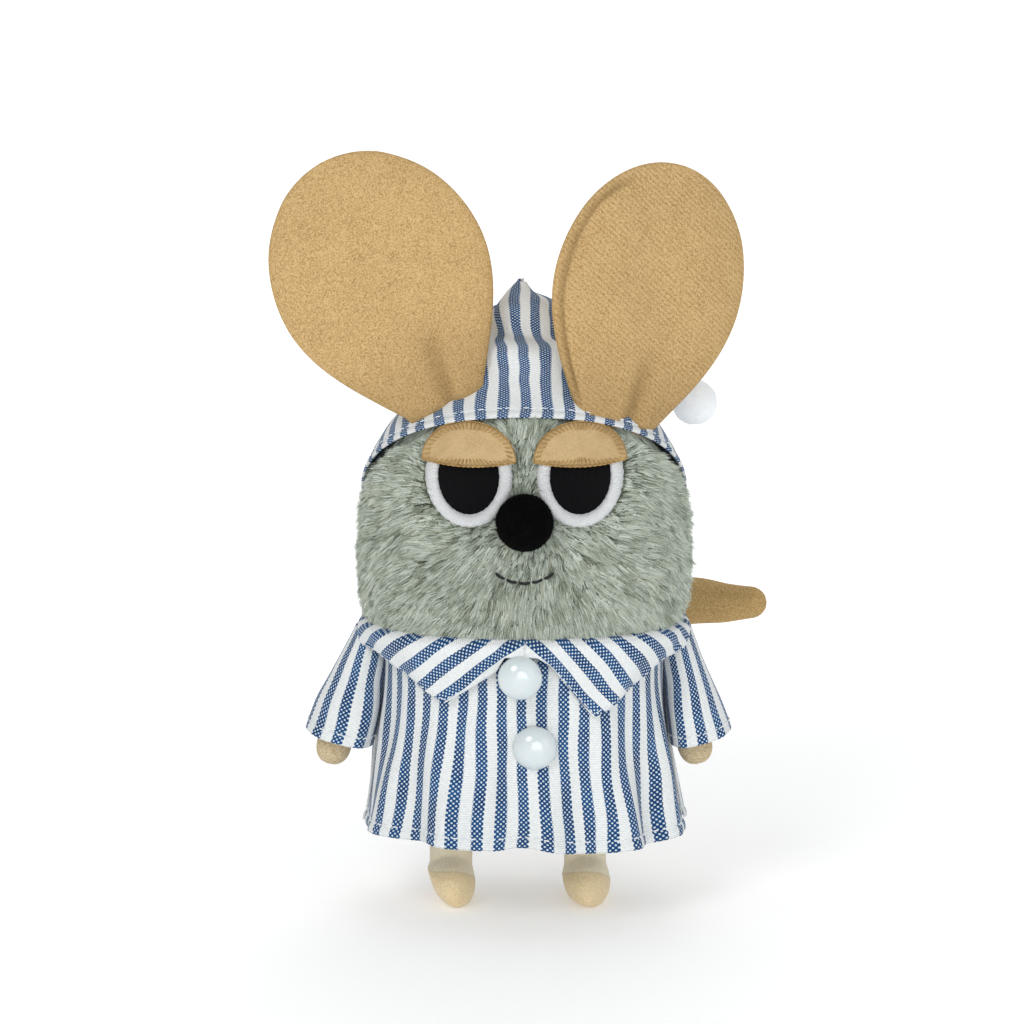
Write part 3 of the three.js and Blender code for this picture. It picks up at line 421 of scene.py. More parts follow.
def closed_loft(name, rings, material, uv=None, attributes=None):
    """A closed body skinned over rings, with a point at each end."""
    rows, columns = rings.shape[:2]
    index, r, c = grid_faces(rows, columns, wrap=True)
    if uv is None:
        uv = np.zeros((rows, columns + 1, 2))
    loops = uv[r, c]
    points = rings.reshape(-1, 3)
    first, last = len(points), len(points) + 1
    points = np.vstack([points, rings[0].mean(0), rings[-1].mean(0)])
    c = np.arange(columns)
    nxt = (c + 1) % columns
    start = np.stack([nxt, c, np.full(columns, first), np.full(columns, first)], 1)
    base = (rows - 1) * columns
    end = np.stack([base + c, base + nxt, np.full(columns, last), np.full(columns, last)], 1)
    cap = np.zeros((2 * columns, 4, 2))
    cap[:columns] = uv[0, c][:, None]
    cap[columns:] = uv[-1, c][:, None]
    extra = {
        k: np.concatenate([v.ravel(), [v[0].mean(), v[-1].mean()]]) for k, v in (attributes or {}).items()
    }
    faces = np.vstack([index, start, end])
    return make_object(name, points, faces, [material], np.vstack([loops, cap]), attributes=extra)


def add_modifier(obj, name, kind, **settings):
    made = obj.modifiers.new(name, kind)
    for key, value in settings.items():
        setattr(made, key, value)
    return made


def baked(obj):
    """The object with its modifiers applied."""
    graph = bpy.context.evaluated_depsgraph_get()
    mesh = bpy.data.meshes.new_from_object(obj.evaluated_get(graph))
    obj.modifiers.clear()
    obj.data = mesh
    return obj


def thicken(obj, thickness):
    """Cloth of a thickness in millimetres, grown inwards."""
    add_modifier(obj, "cloth", "SOLIDIFY", thickness=thickness * MM, offset=-1.0, use_rim=True)


def power_of(value, power):
    """A cosine or sine bent so that a round becomes a squarer oval. Power 2 leaves it round."""
    return np.sign(value) * np.abs(value) ** (2 / power)


def smooth_step(x, start, end):
    """0 before start, 1 past end, and an even slope between."""
    t = np.clip((np.asarray(x, float) - start) / (end - start), 0, 1)
    return t * t * (3 - 2 * t)


def bump_at(x, centre, width):
    """1 at the centre, fading to nothing over about twice the width."""
    return np.exp(-(((x - centre) / width) ** 2))


def eased(x, xs, ys, width):
    """Linear interpolation with its corners rounded off."""
    offsets = np.linspace(-1, 1, 9)
    weights = 1 - 0.85 * offsets**2
    total = sum(w * np.interp(x + o * width, xs, ys) for o, w in zip(offsets, weights))
    return total / weights.sum()


def unit(v):
    return v / np.maximum(np.linalg.norm(v, axis=-1, keepdims=True), 1e-9)


def closed(row):
    """A ring of points with its first point again at the end."""
    return np.concatenate([row, row[:1]])


def round_end(run, radius, least=0.0004):
    """How wide a round end is at a distance from its tip, as a share of the full width."""
    return np.sqrt(np.clip(1 - (1 - np.clip(run / radius, 0, 1)) ** 2, least, 1))


def crossing(is_above, low, high):
    """The heights at which a test starts to hold, found by halving. low and high are arrays."""
    for _ in range(40):
        mid = (low + high) / 2
        above = is_above(mid)
        high = np.where(above, mid, high)
        low = np.where(above, low, mid)
    return (low + high) / 2


def run_along(path):
    """Distance run at each point of a path."""
    return np.concatenate([[0], np.cumsum(np.linalg.norm(np.diff(path, axis=0), axis=1))])


def lengths_along(points, axis):
    """Distance run along one axis of a grid of points, in millimetres."""
    step = np.linalg.norm(np.diff(points, axis=axis), axis=-1)
    zero = np.zeros_like(np.take(step, [0], axis=axis))
    return np.concatenate([zero, np.cumsum(step, axis=axis)], axis=axis)


def normals_of(points, wrap=False):
    """Unit normals of a grid of points: along columns cross along rows."""
    if wrap:
        across = np.roll(points, -1, axis=1) - np.roll(points, 1, axis=1)
    else:
        across = np.gradient(points, axis=1)
    up = np.gradient(points, axis=0)
    return unit(np.cross(across, up))


def path_frames(points):
    """Side and up vectors that turn as little as they can along a path."""
    points = np.asarray(points, float)
    tangents = np.gradient(points, axis=0)
    tangents /= np.linalg.norm(tangents, axis=1, keepdims=True)
    side = np.cross(tangents[0], (0, 0, 1) if abs(tangents[0][2]) < 0.9 else (0, 1, 0))
    sides = []
    for t in tangents:
        side = side - t * (side @ t)
        side = side / np.linalg.norm(side)
        sides.append(side)
    sides = np.array(sides)
    return sides, np.cross(tangents, sides)


def spline(points, count):
    """A Catmull-Rom curve through the points, evenly spaced."""
    pts = np.asarray(points, float)
    ext = np.vstack([2 * pts[0] - pts[1], pts, 2 * pts[-1] - pts[-2]])
    dense = []
    for i in range(len(pts) - 1):
        a, b, c, d = ext[i : i + 4]
        t = np.linspace(0, 1, 24, endpoint=i == len(pts) - 2)[:, None]
        dense.append(
            0.5 * (2 * b + (c - a) * t + (2 * a - 5 * b + 4 * c - d) * t**2 + (3 * b - a - 3 * c + d) * t**3)
        )
    dense = np.vstack(dense)
    run = run_along(dense)
    want = np.linspace(0, run[-1], count)
    return np.stack([np.interp(want, run, dense[:, k]) for k in range(3)], 1)


def tube(name, path, radius_at, material, segments=24, dent=None):
    """A stuffed tube with round ends. radius_at and dent take the share of the length and the angle."""
    length = run_along(path)[-1]
    share = np.linspace(0, 1, len(path))
    radius = radius_at(share)
    for end, run in ((radius[0], share * length), (radius[-1], (1 - share) * length)):
        radius = radius * round_end(run, end)
    side, up = path_frames(path)
    angle = np.linspace(0, TAU, segments, endpoint=False)
    grown = radius[:, None] * np.ones(segments)
    if dent:
        grown = grown + dent(share[:, None], angle[None, :])
    ring = side[:, None] * np.cos(angle)[:, None] + up[:, None] * np.sin(angle)[:, None]
    points = path[:, None] + ring * grown[..., None]
    around = np.linspace(0, 1, segments + 1)[None] * (TAU * radius.max() * MM)
    along = (share * length * MM)[:, None]
    uv = np.stack(np.broadcast_arrays(around, along), -1)
    return closed_loft(name, points, material, uv)


def stitch_row(name, path, normals, stitch, gap, radius, rise):
    """Running stitches along a path: each is a small arched strand whose ends dip into the cloth."""
    path = np.asarray(path, float)
    run = run_along(path)
    shape = np.array([0.0, 0.12, 0.5, 0.88, 1.0])
    lift = np.array([-0.35, 0.5, 1.0, 0.5, -0.35]) * rise
    thick = np.array([0.35, 0.9, 1.0, 0.9, 0.35]) * radius
    angle = np.linspace(0, TAU, 6, endpoint=False)
    points, faces, at = [], [], 0.0
    ring_faces, _, _ = grid_faces(5, 6, wrap=True)
    while at + stitch < run[-1]:
        own = stitch * (0.86 + 0.2 * rng.random())
        here = at + own * shape
        centre = np.stack([np.interp(here, run, path[:, k]) for k in range(3)], 1)
        n = np.stack([np.interp(here, run, np.asarray(normals)[:, k]) for k in range(3)], 1)
        n /= np.linalg.norm(n, axis=1, keepdims=True)
        t = np.gradient(centre, axis=0)
        t /= np.linalg.norm(t, axis=1, keepdims=True)
        side = np.cross(t, n)
        centre = centre + n * lift[:, None]
        ring = side[:, None] * np.cos(angle)[:, None] + n[:, None] * np.sin(angle)[:, None]
        faces.append(ring_faces + 30 * len(points))
        points.append((centre[:, None] + ring * thick[:, None, None]).reshape(-1, 3))
        at += stitch + gap
    return make_object(name, np.vstack(points), np.vstack(faces), [mat_white_thread])


def strand(points, radius=0.2, segments=6):
    """The rings of one thin strand through points."""
    points = np.asarray(points, float)
    side, up = path_frames(points)
    angle = np.linspace(0, TAU, segments, endpoint=False)
    ring = side[:, None] * np.cos(angle)[:, None] + up[:, None] * np.sin(angle)[:, None]
    taper = np.ones(len(points))
    taper[0] = taper[-1] = 0.4
    return points[:, None] + ring * (radius * taper)[:, None, None]


def strands_object(name, strands, material):
    points, faces, count = [], [], 0
    for rings in strands:
        rows, columns = rings.shape[:2]
        index, _, _ = grid_faces(rows, columns, wrap=True)
        faces.append(index + count)
        points.append(rings.reshape(-1, 3))
        count += rows * columns
    return make_object(name, np.vstack(points), np.vstack(faces), [material])


def numbers_of(vertices, what):
    """The places or the normals of a mesh's vertices, as rows of three."""
    values = np.zeros(len(vertices) * 3)
    vertices.foreach_get(what, values)
    return values.reshape(-1, 3)


def softened(node, name, material, voxel, rounds, lumps, attributes=None):
    """A new, softly rounded mesh in the shape of a CAD node."""
    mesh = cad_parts[node].data.copy()
    obj = bpy.data.objects.new(name, mesh)
    bpy.context.scene.collection.objects.link(obj)
    add_modifier(obj, "even", "REMESH", mode="VOXEL", voxel_size=voxel * MM)
    add_modifier(obj, "soft", "SMOOTH", factor=0.5, iterations=rounds)
    baked(obj)
    co = numbers_of(obj.data.vertices, "co")
    layout = (co - SHIFT) / MM
    if lumps:
        waves = (((0.31, 0.2, 0.27), 0.4), ((-0.22, 0.35, 0.18), 2.1))
        wave = sum(np.sin(layout @ np.array(k) + p) for k, p in waves)
        co = co + numbers_of(obj.data.vertices, "normal") * (wave * lumps / 2 * MM)[:, None]
        obj.data.vertices.foreach_set("co", co.ravel())
    for key, values in (attributes(layout) if attributes else {}).items():
        layer = obj.data.attributes.new(key, "FLOAT", "POINT")
        layer.data.foreach_set("value", np.asarray(values, np.float32))
    obj.data.materials.clear()
    obj.data.materials.append(material)
    obj.data.polygons.foreach_set("use_smooth", np.ones(len(obj.data.polygons), bool))
    obj.data.update()
    return obj


def piece(obj, body, nodes=()):
    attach(obj, body)
    if nodes:
        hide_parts(*nodes)
    return obj


# ---------------------------------------------------------------- the head's shape

HEAD = dict(middle=104.0, top=154.0, w=46.0, d=37.0, low=32.0, low_power=4, top_power=2.05)
SQUARENESS = 2.3
SKIN = -2.3  # the fur's backing lies this far inside the head's outline


def head_share(z):
    rise = np.asarray(z, float) - HEAD["middle"]
    down, up = HEAD["low_power"], HEAD["top_power"]
    below = (1 - np.clip(-rise / HEAD["low"], 0, 1) ** down) ** (1 / down)
    above = (1 - np.clip(rise / (HEAD["top"] - HEAD["middle"]), 0, 0.9995) ** up) ** (1 / up)
    return np.where(rise < 0, below, above)


def oval(angle, w, d, z):
    """Points on the squarish level outline that head, cap, shirt and collar share."""
    x = w * power_of(np.cos(angle), SQUARENESS)
    y = BODY_Y + d * power_of(np.sin(angle), SQUARENESS)
    return np.stack(np.broadcast_arrays(x, y, z), -1)


def head_point(angle, z, out=0.0):
    share = head_share(z)
    return oval(angle, HEAD["w"] * share + out, HEAD["d"] * share + out, z)


def head_normal(angle, z):
    e = 1e-3
    across = head_point(angle + e, z) - head_point(angle - e, z)
    up = head_point(angle, z + 0.05) - head_point(angle, z - 0.05)
    return unit(np.cross(across, up))


def face_y(x, z, out=0.0):
    """How far forward the face is at x and z."""
    share = head_share(z)
    w, d = HEAD["w"] * share + out, HEAD["d"] * share + out
    return BODY_Y - d * (1 - np.clip(np.abs(x) / w, 0, 0.999) ** SQUARENESS) ** (1 / SQUARENESS)


def on_face(x, z, out=0.0):
    x, z = np.broadcast_arrays(np.asarray(x, float), np.asarray(z, float))
    return np.stack([x, face_y(x, z, out), z], -1)


BRIM = dict(front=144.5, slope=0.72)


def brim_z(y):
    """The height of the cap's brim, which falls towards the back."""
    return BRIM["front"] - BRIM["slope"] * (y - (BODY_Y - 30))


# ---------------------------------------------------------------- head and fur

EYE = dict(x=15.0, z=126.5, w=11.6, h=13.2, ring=3.4)
NOSE_AT = np.array([0.0, BODY_Y - 37 * float(head_share(115.5)) - 4.2, 115.5])
NOSE_RADIUS = 7.6


def build_skin():
    z = np.concatenate([[84.2, 84.6, 85.6], np.linspace(87, 148, 60), [150, 151.5, 152.6, 153.2]])
    angle = np.linspace(0, TAU, 120, endpoint=False)
    points = head_point(angle[None], z[:, None], SKIN)
    points[0, :, :2] = points[0, :, :2] * 0.94 + np.array([0, BODY_Y]) * 0.06
    x, y, z = points[..., 0], points[..., 1], points[..., 2]
    lump = 0.35 * np.sin(x * 0.21 + 1) * np.sin(z * 0.19) * np.sin(y * 0.17)
    points = points + normals_of(points, wrap=True) * lump[..., None]
    obj = closed_loft("head_skin", points, mat_skin)
    piece(obj, "head", ["head"])


def eye_radius(x, z):
    """Distance from the nearer eye's middle, where 1 is the ring's outer edge."""
    return np.sqrt(((np.abs(x) - EYE["x"]) / EYE["w"]) ** 2 + ((z - EYE["z"]) / EYE["h"]) ** 2)


def soft_noise(points, size, seed):
    """Smooth values of -1 to 1 over points, from a few waves in random directions."""
    waves = np.random.default_rng(seed)
    total = np.zeros(len(points))
    for _ in range(7):
        k = waves.normal(size=3)
        k *= TAU / size / np.linalg.norm(k) * waves.uniform(0.6, 1.4)
        total += np.sin(points @ k + waves.uniform(0, TAU))
    return np.clip(total / 3.2, -1, 1)


FUR = dict(count=123000, per_piece=41000, length=6.2, rise=31, tufts=6500)
FUR_HALF_WIDTHS = (0.13, 0.115, 0.03)  # at the root, half way and at the tip


def fur_roots(count):
    """Points spread evenly over the part of the head that shows, with their normals."""
    found, normals = [], []
    need = count
    while need > 0:
        tries = need * 3
        angle = rng.uniform(0, TAU, tries)
        z = rng.uniform(84.6, 150, tries)
        e = 1e-3
        across = np.linalg.norm(head_point(angle + e, z) - head_point(angle - e, z), axis=1) / (2 * e)
        up = np.linalg.norm(head_point(angle, z + 0.05) - head_point(angle, z - 0.05), axis=1) / 0.1
        area = across * np.minimum(up, 4)
        keep = rng.uniform(0, 1, tries) < area / 120
        p = head_point(angle, z, SKIN)
        front = p[:, 1] < BODY_Y
        keep &= p[:, 2] < brim_z(p[:, 1]) + 4.5
        keep &= ~(front & (eye_radius(p[:, 0], p[:, 2]) < 0.93))
        keep &= ~(front & (np.hypot(p[:, 0], p[:, 2] - NOSE_AT[2]) < 4.6))
        n = head_normal(angle[keep], z[keep])
        found.append(p[keep])
        normals.append(n)
        need -= int(keep.sum())
    return np.vstack(found)[:count], np.vstack(normals)[:count]


def fur_flow(p, n):
    """The lie of the fur: away from the nose over the face, and down at the back."""
    away = p - np.array([NOSE_AT[0], NOSE_AT[1] + 6, NOSE_AT[2] + 2])
    back = smooth_step(p[:, 1], BODY_Y - 8, BODY_Y + 30)[:, None]
    away = unit(away) * (1 - back) + back * np.array([0, 0.2, -1.0])
    side = smooth_step(np.abs(p[:, 0]), 16, 44)[:, None]
    away = unit(away) + side * np.array([0, 0, -0.35])
    return unit(away - n * (away * n).sum(1, keepdims=True))


def turned(v, axis, angle):
    c, s = np.cos(angle)[:, None], np.sin(angle)[:, None]
    return v * c + np.cross(axis, v) * s


def build_fur():
    count = FUR["count"]
    p, n = fur_roots(count)
    flow = fur_flow(p, n)
    swirl = 0.34 * soft_noise(p, 17, 3) + 0.24 * soft_noise(p, 6, 4) + rng.normal(0, 0.12, count)
    flow = turned(flow, n, swirl)
    # Close under the brim the fur is pressed down, so that none of it comes through the cap.
    clear = smooth_step(brim_z(p[:, 1]) - p[:, 2], -1.0, 6.0)
    flow = flow + (1 - clear)[:, None] * np.array([0, 0, -2.0])
    flow = unit(flow - n * (flow * n).sum(1, keepdims=True))
    r_eye = np.where(p[:, 1] < BODY_Y, eye_radius(p[:, 0], p[:, 2]), 9)
    length = FUR["length"] * rng.uniform(0.7, 1.12, count) * (1 + 0.12 * soft_noise(p, 9, 5))
    length *= 0.85 + 0.15 * clear
    length *= 0.5 + 0.5 * smooth_step(r_eye, 0.95, 1.35)
    from_nose = np.hypot(p[:, 0], p[:, 2] - NOSE_AT[2])
    length *= 0.55 + 0.45 * smooth_step(np.where(p[:, 1] < BODY_Y, from_nose, 99), 6, 18)
    rise = np.radians(rng.normal(FUR["rise"], 6, count)) * (0.1 + 0.9 * clear)
    half = (length * 0.5)[:, None]
    mid = p + (flow * np.cos(rise)[:, None] + n * np.sin(rise)[:, None]) * half
    fall = rise - np.radians(rng.normal(16, 6, count)) * (0.3 + 0.7 * clear)
    along = flow + np.array([0, 0, -0.12])
    along = unit(along - n * (along * n).sum(1, keepdims=True))
    tip = mid + (along * np.cos(fall)[:, None] + n * np.sin(fall)[:, None]) * half
    # Strands lean towards the tip that their tuft shares.
    picks = rng.choice(count, FUR["tufts"], replace=False)
    tree = KDTree(FUR["tufts"])
    for i, k in enumerate(picks):
        tree.insert(p[k], i)
    tree.balance()
    own = picks[np.array([tree.find(q)[1] for q in p])]
    pull = rng.uniform(0.25, 0.65, count)[:, None]
    tip = tip + (tip[own] - tip) * pull
    mid = mid + (mid[own] - mid) * pull * 0.45
    # Strands beside an eye stop before its threads.
    for _ in range(6):
        inside = (tip[:, 1] < BODY_Y - 10) & (eye_radius(tip[:, 0], tip[:, 2]) < 0.92)
        tip[inside] = mid[inside] + (tip[inside] - mid[inside]) * 0.55
        mid[inside] = p[inside] + (mid[inside] - p[inside]) * 0.85
    # Each strand is a narrow blade of two quads, turned a little about its own length.
    side = unit(np.cross(n, flow))
    twist = rng.uniform(-0.9, 0.9, count)
    side = side * np.cos(twist)[:, None] + n * np.sin(twist)[:, None]
    wide = rng.uniform(0.75, 1.25, count)[:, None]
    root = p - n * 0.3
    at_root, at_mid, at_tip = (side * half_width * wide for half_width in FUR_HALF_WIDTHS)
    corners = [root - at_root, root + at_root, mid + at_mid, mid - at_mid, tip + at_tip, tip - at_tip]
    points = np.stack(corners, 1)
    tuft_tone = rng.random(count)[own]
    tone = 0.45 * tuft_tone + 0.4 * rng.random(count) + 0.15 * (soft_noise(p, 12, 8) * 0.5 + 0.5)
    upper = np.select([tone < 0.2, tone < 0.36, tone < 0.56, tone < 0.84], [1, 2, 3, 4], 5)
    # The root half of each strand takes the darker tones: painted shade deep in the pile.
    lower = np.select([tone < 0.35, tone < 0.75], [0, 1], 2)
    base = np.arange(FUR["per_piece"])[:, None] * 6
    quads = np.stack([base + np.array([0, 1, 2, 3]), base + np.array([3, 2, 4, 5])], 1).reshape(-1, 4)
    for k in range(count // FUR["per_piece"]):
        part = slice(k * FUR["per_piece"], (k + 1) * FUR["per_piece"])
        slots = np.stack([lower[part], upper[part]], 1).ravel()
        obj = make_object(f"fur_{k + 1}", points[part].reshape(-1, 3), quads, mats_fur, slots=slots)
        piece(obj, "head")


# ---------------------------------------------------------------- face


def build_eye(side, sign):
    cx, cz = sign * EYE["x"], EYE["z"]
    angle = np.linspace(0, TAU, 120, endpoint=False)
    share = np.linspace(0, 1, 11)[:, None]
    ring_w = EYE["w"] + 0.2 - (EYE["ring"] + 0.4) * share
    ring_h = EYE["h"] + 0.2 - (EYE["ring"] + 0.4) * share
    ragged = 0.10 * np.sin(angle * 47) + 0.08 * np.sin(angle * 29 + 1.0)
    edge = 1 + (ragged / 12)[None] * (np.abs(share - 0.5) * 2) ** 3
    x = cx + ring_w * np.cos(angle)[None] * edge
    z = cz + ring_h * np.sin(angle)[None] * edge
    height = -1.5 + 2.3 * np.sqrt(np.clip(1 - (2 * share - 1) ** 2, 0, 1)) ** 0.8 + 0 * x
    height = height + 0.05 * np.sin(angle * 94)[None] * (height > -1)
    around = np.linspace(0, TAU * 12 * MM, 121)[None]
    uv = np.stack(np.broadcast_arrays(around, share * 4 * MM), -1)
    ring = grid_object(f"{side}_eye_ring", on_face(x, z, height), mat_ring, uv, wrap=True)
    piece(ring, "head", [f"{side}_eye_white"])
    share = np.linspace(0.001, 1, 15)[:, None]
    w, h = EYE["w"] - EYE["ring"] + 0.5, EYE["h"] - EYE["ring"] + 0.5
    x = cx + w * share * np.cos(angle)[None]
    z = cz + h * share * np.sin(angle)[None]
    height = -0.9 + 1.0 * np.sqrt(np.clip(1 - share**2, 0, 1)) + 0 * x
    points = on_face(x, z, height)
    uv = np.concatenate([points, points[:, :1]], 1)[..., [0, 2]] * MM
    pupil = grid_object(f"{side}_pupil_threads", points, mat_pupil, uv, wrap=True, flip=True)
    piece(pupil, "head", [f"{side}_pupil"])


def lid_outline(cx):
    """The lid's lower edge and its domed top, as matching rows of x and z."""
    half = EYE["w"] + 1.0
    low_z = EYE["z"] + 3.4
    t = np.linspace(0, 1, 61)
    bottom_x = cx + half * (2 * t - 1)
    bottom_z = (1 - t) ** 2 * (low_z + 0.6) + 2 * t * (1 - t) * (low_z - 1.8) + t**2 * (low_z + 0.6)
    top_x = (
        (1 - t) ** 3 * (cx - half) + 3 * t * (1 - t) ** 2 * (cx - half + 0.6)
        + 3 * t**2 * (1 - t) * (cx + half - 0.6) + t**3 * (cx + half)
    )
    top_z = (1 - t) ** 3 * (low_z + 0.6) + 3 * t * (1 - t) * (low_z + 14) + t**3 * (low_z + 0.6)
    return bottom_x, bottom_z, top_x, top_z


def build_lid(side, sign):
    cx = sign * EYE["x"]
    bx, bz, tx, tz = lid_outline(cx)
    share = np.linspace(0, 1, 16)[:, None]
    x = bx + (tx - bx) * share
    z = bz + (tz - bz) * share
    edge = np.minimum(np.minimum(share, 1 - share) * 15, 1) + 0 * x
    edge = np.minimum(edge, np.minimum(np.linspace(0, 1, 61), np.linspace(1, 0, 61))[None] * 20)
    height = 0.2 + 1.3 * np.sqrt(np.clip(edge, 0, 1)) + 0.2 * np.sin(x * 0.9) * np.sin(z * 0.8)
    points = on_face(x, z, height)
    lid = grid_object(f"{side}_lid_felt", points, mat_felt, points[..., [0, 2]] * MM)
    piece(lid, "head", [f"{side}_eyelid"])
    # Blanket stitches: a strand along the edge and short legs that reach into the felt.
    strands = []
    loop = np.stack([np.concatenate([bx, tx[::-1]]), np.concatenate([bz, tz[::-1]])], 1)
    run = run_along(loop)
    centre = np.array([cx, EYE["z"] + 8.5])
    count = 46
    for i in range(count):
        a, b = run[-1] * i / count, run[-1] * (i + 1) / count
        s = np.linspace(a, b, 4)
        q = np.stack([np.interp(s, run, loop[:, k]) for k in range(2)], 1)
        strands.append(strand(on_face(q[:, 0], q[:, 1], 1.15), 0.26))
        inward = unit(centre - q[0])
        leg = np.array([q[0] + inward * d for d in (0.0, 0.8, 1.7, 2.1 + 0.5 * rng.random())])
        lift = np.array([1.2, 1.75, 1.75, 1.25])
        strands.append(strand(on_face(leg[:, 0], leg[:, 1], lift), 0.24))
    stitches = strands_object(f"{side}_lid_stitches", strands, mat_gold)
    piece(stitches, "head")


def build_ball(name, centre, radius, lumps, material, columns, end, poles):
    """A round ball with small lumps, each a height, a size and a seed. Poles lie along an axis."""
    polar = np.linspace(end, math.pi - end, 40)[:, None]
    angle = np.linspace(0, TAU, columns, endpoint=False)[None]
    round_x, round_y, axis = np.sin(polar) * np.cos(angle), np.sin(polar) * np.sin(angle), np.cos(polar)
    order = (round_x, axis, round_y) if poles == "y" else (round_x, round_y, axis)
    d = np.stack(np.broadcast_arrays(*order), -1)
    flat = d.reshape(-1, 3)
    r = radius + sum(height * soft_noise(flat * 10, size, seed) for height, size, seed in lumps)
    return closed_loft(name, centre + d * r.reshape(d.shape[:2])[..., None], material)


def build_nose():
    lumps = ((0.16, 3, 31), (0.05, 1, 32))
    ball = build_ball("nose_ball", NOSE_AT, NOSE_RADIUS, lumps, mat_nose, 64, 0.04, "y")
    piece(ball, "head", ["nose"])
    # A short flock over it.
    v = unit(rng.normal(size=(5200, 3)))
    v = v[v[:, 1] < 0.55]
    side = unit(np.cross(v, rng.normal(size=v.shape)))
    lean = unit(v + 0.7 * side)
    root = NOSE_AT + v * (NOSE_RADIUS - 0.05)
    tip = root + lean * rng.uniform(0.35, 0.75, len(v))[:, None]
    across = unit(np.cross(lean, v)) * 0.06
    points = np.stack([root - across, root + across, tip], 1).reshape(-1, 3)
    base = np.arange(len(v))[:, None] * 3
    flock = make_object("nose_flock", points, base + np.array([0, 1, 2, 2]), [mat_nose])
    piece(flock, "head")


MOUTH = dict(z=111, radius=12.5, start=math.pi * 1.28, end=math.pi * 1.72)


def build_mouth():
    strands = []
    angles = np.linspace(MOUTH["start"], MOUTH["end"], 6)
    for a, b in zip(angles[:-1], angles[1:]):
        t = np.linspace(a + 0.02, b - 0.02, 6)
        x, z = MOUTH["radius"] * np.cos(t), MOUTH["z"] + MOUTH["radius"] * np.sin(t)
        lift = np.array([-0.6, 0.5, 0.9, 0.9, 0.5, -0.6])
        strands.append(strand(on_face(x, z, lift), 0.42))
    obj = strands_object("mouth_threads", strands, mat_black_thread)
    piece(obj, "head", ["mouth_stitch"])


# ---------------------------------------------------------------- ears

EARS = {
    "left": dict(base=(-21.7, BODY_Y - 16, 145.6), lean=-27, yaw=-4, pitch=-5),
    "right": dict(base=(24.8, BODY_Y - 15, 139), lean=14, yaw=30, pitch=-5),
}
EAR = dict(length=71.8, half=30.0, widest=37.5, root=12.0, thick=4.4, squareness=2.6)


def ear_half_width(v):
    """Half the ear's width at a height: part of an ellipse over a sine that narrows to the root."""
    past = (v - EAR["widest"]) / (EAR["length"] - EAR["widest"])
    above = EAR["half"] * np.sqrt(np.clip(1 - past**2, 0, 1))
    turn = np.clip(math.pi / 2 * v / EAR["widest"], -0.2, 1.58)
    below = EAR["root"] + (EAR["half"] - EAR["root"]) * np.sin(turn)
    return np.where(v > EAR["widest"], above, below)


def build_ear(side):
    spec = EARS[side]
    turn = (
        Matrix.Rotation(math.radians(spec["pitch"]), 3, "X")
        @ Matrix.Rotation(math.radians(spec["lean"]), 3, "Y")
        @ Matrix.Rotation(math.radians(spec["yaw"]), 3, "Z")
    )
    slope = np.linspace(0, 1, 70)
    v = np.concatenate([[-3.1, -2.2], EAR["length"] * (1 - (1 - slope) ** 1.35) * 0.9995])
    angle = np.linspace(0, TAU, 144, endpoint=False)
    w = ear_half_width(v)[:, None]
    w[0], w[1] = 9.5, 11.2
    edge = np.minimum(1, (EAR["length"] - v) / 22 + 0.28)[:, None]
    h = EAR["thick"] * edge * (1 - 0.1 * bump_at(v, 40, 18))[:, None]
    h[0], h[1] = 0.8, 2.4
    c, s = np.cos(angle)[None], np.sin(angle)[None]
    x, y = w * power_of(c, EAR["squareness"]), h * power_of(s, EAR["squareness"])
    vv = v[:, None]
    # The seam between front and back runs round the edge in a groove.
    # The right ear turns its inner edge to the front, and there the seam lies nearer the front face.
    turned_edge = smooth_step(-c, 0.2, 0.8) * (side == "right")
    groove = bump_at(y, -1.6 * turned_edge, 0.6) * smooth_step(vv, 2, 9) * (1 - smooth_step(vv, 62, 68))
    inward = (0.75 + 0.5 * turned_edge) * groove
    top = smooth_step(vv, 50, 72)
    x = x - np.sign(c) * inward * (1 - 0.6 * top)
    z = vv - inward * top * 0.9 + 0 * x
    # A dart gathers the root, and the front face is softly hollow above it.
    front = smooth_step(-y, 0.4, 2.2)
    dart_x = 1.5 + 0.12 * vv
    dart = 1.3 * bump_at(x, dart_x, 1.7 + 0.06 * vv) * (1 - smooth_step(vv, 10, 26))
    beside = 0.5 * (bump_at(x, dart_x + 5, 2.6) + bump_at(x, dart_x - 5, 2.6))
    beside = beside * (1 - smooth_step(vv, 8, 24))
    hollow = 1.1 * bump_at(x, 0, 15) * bump_at(vv, 38, 20)
    y = y + front * (dart - beside + hollow)
    # Stuffing is never quite even.
    y = y * (1 + 0.05 * np.sin(x * 0.23 + vv * 0.11) + 0.04 * np.sin(vv * 0.27 - x * 0.1))
    points = np.stack([x, y, z], -1) @ np.array(turn).T + np.array(spec["base"])
    uv = np.stack([np.concatenate([a, a[:, :1]], 1) for a in (x, z)], -1) * MM
    # Painted shade, stored in the seam attribute: the seam's groove, the ear's root and the dart are darkened
    # in the velour's colour.
    shade = (0.12 + 0.4 * turned_edge) * groove + 0.25 * (1 - smooth_step(vv, 1, 26)) + 0.22 * dart
    shade = np.clip(shade, 0, 1)
    material = mat_left_ear if side == "left" else mat_right_ear
    obj = closed_loft(f"{side}_ear_velour", points, material, uv, {"seam": shade})
    piece(obj, f"{side}_ear", [f"{side}_ear"])


# ---------------------------------------------------------------- nightcap


CAP = dict(cone=150.0, peak=176.0, bluntness=1.35, offset=1.7)


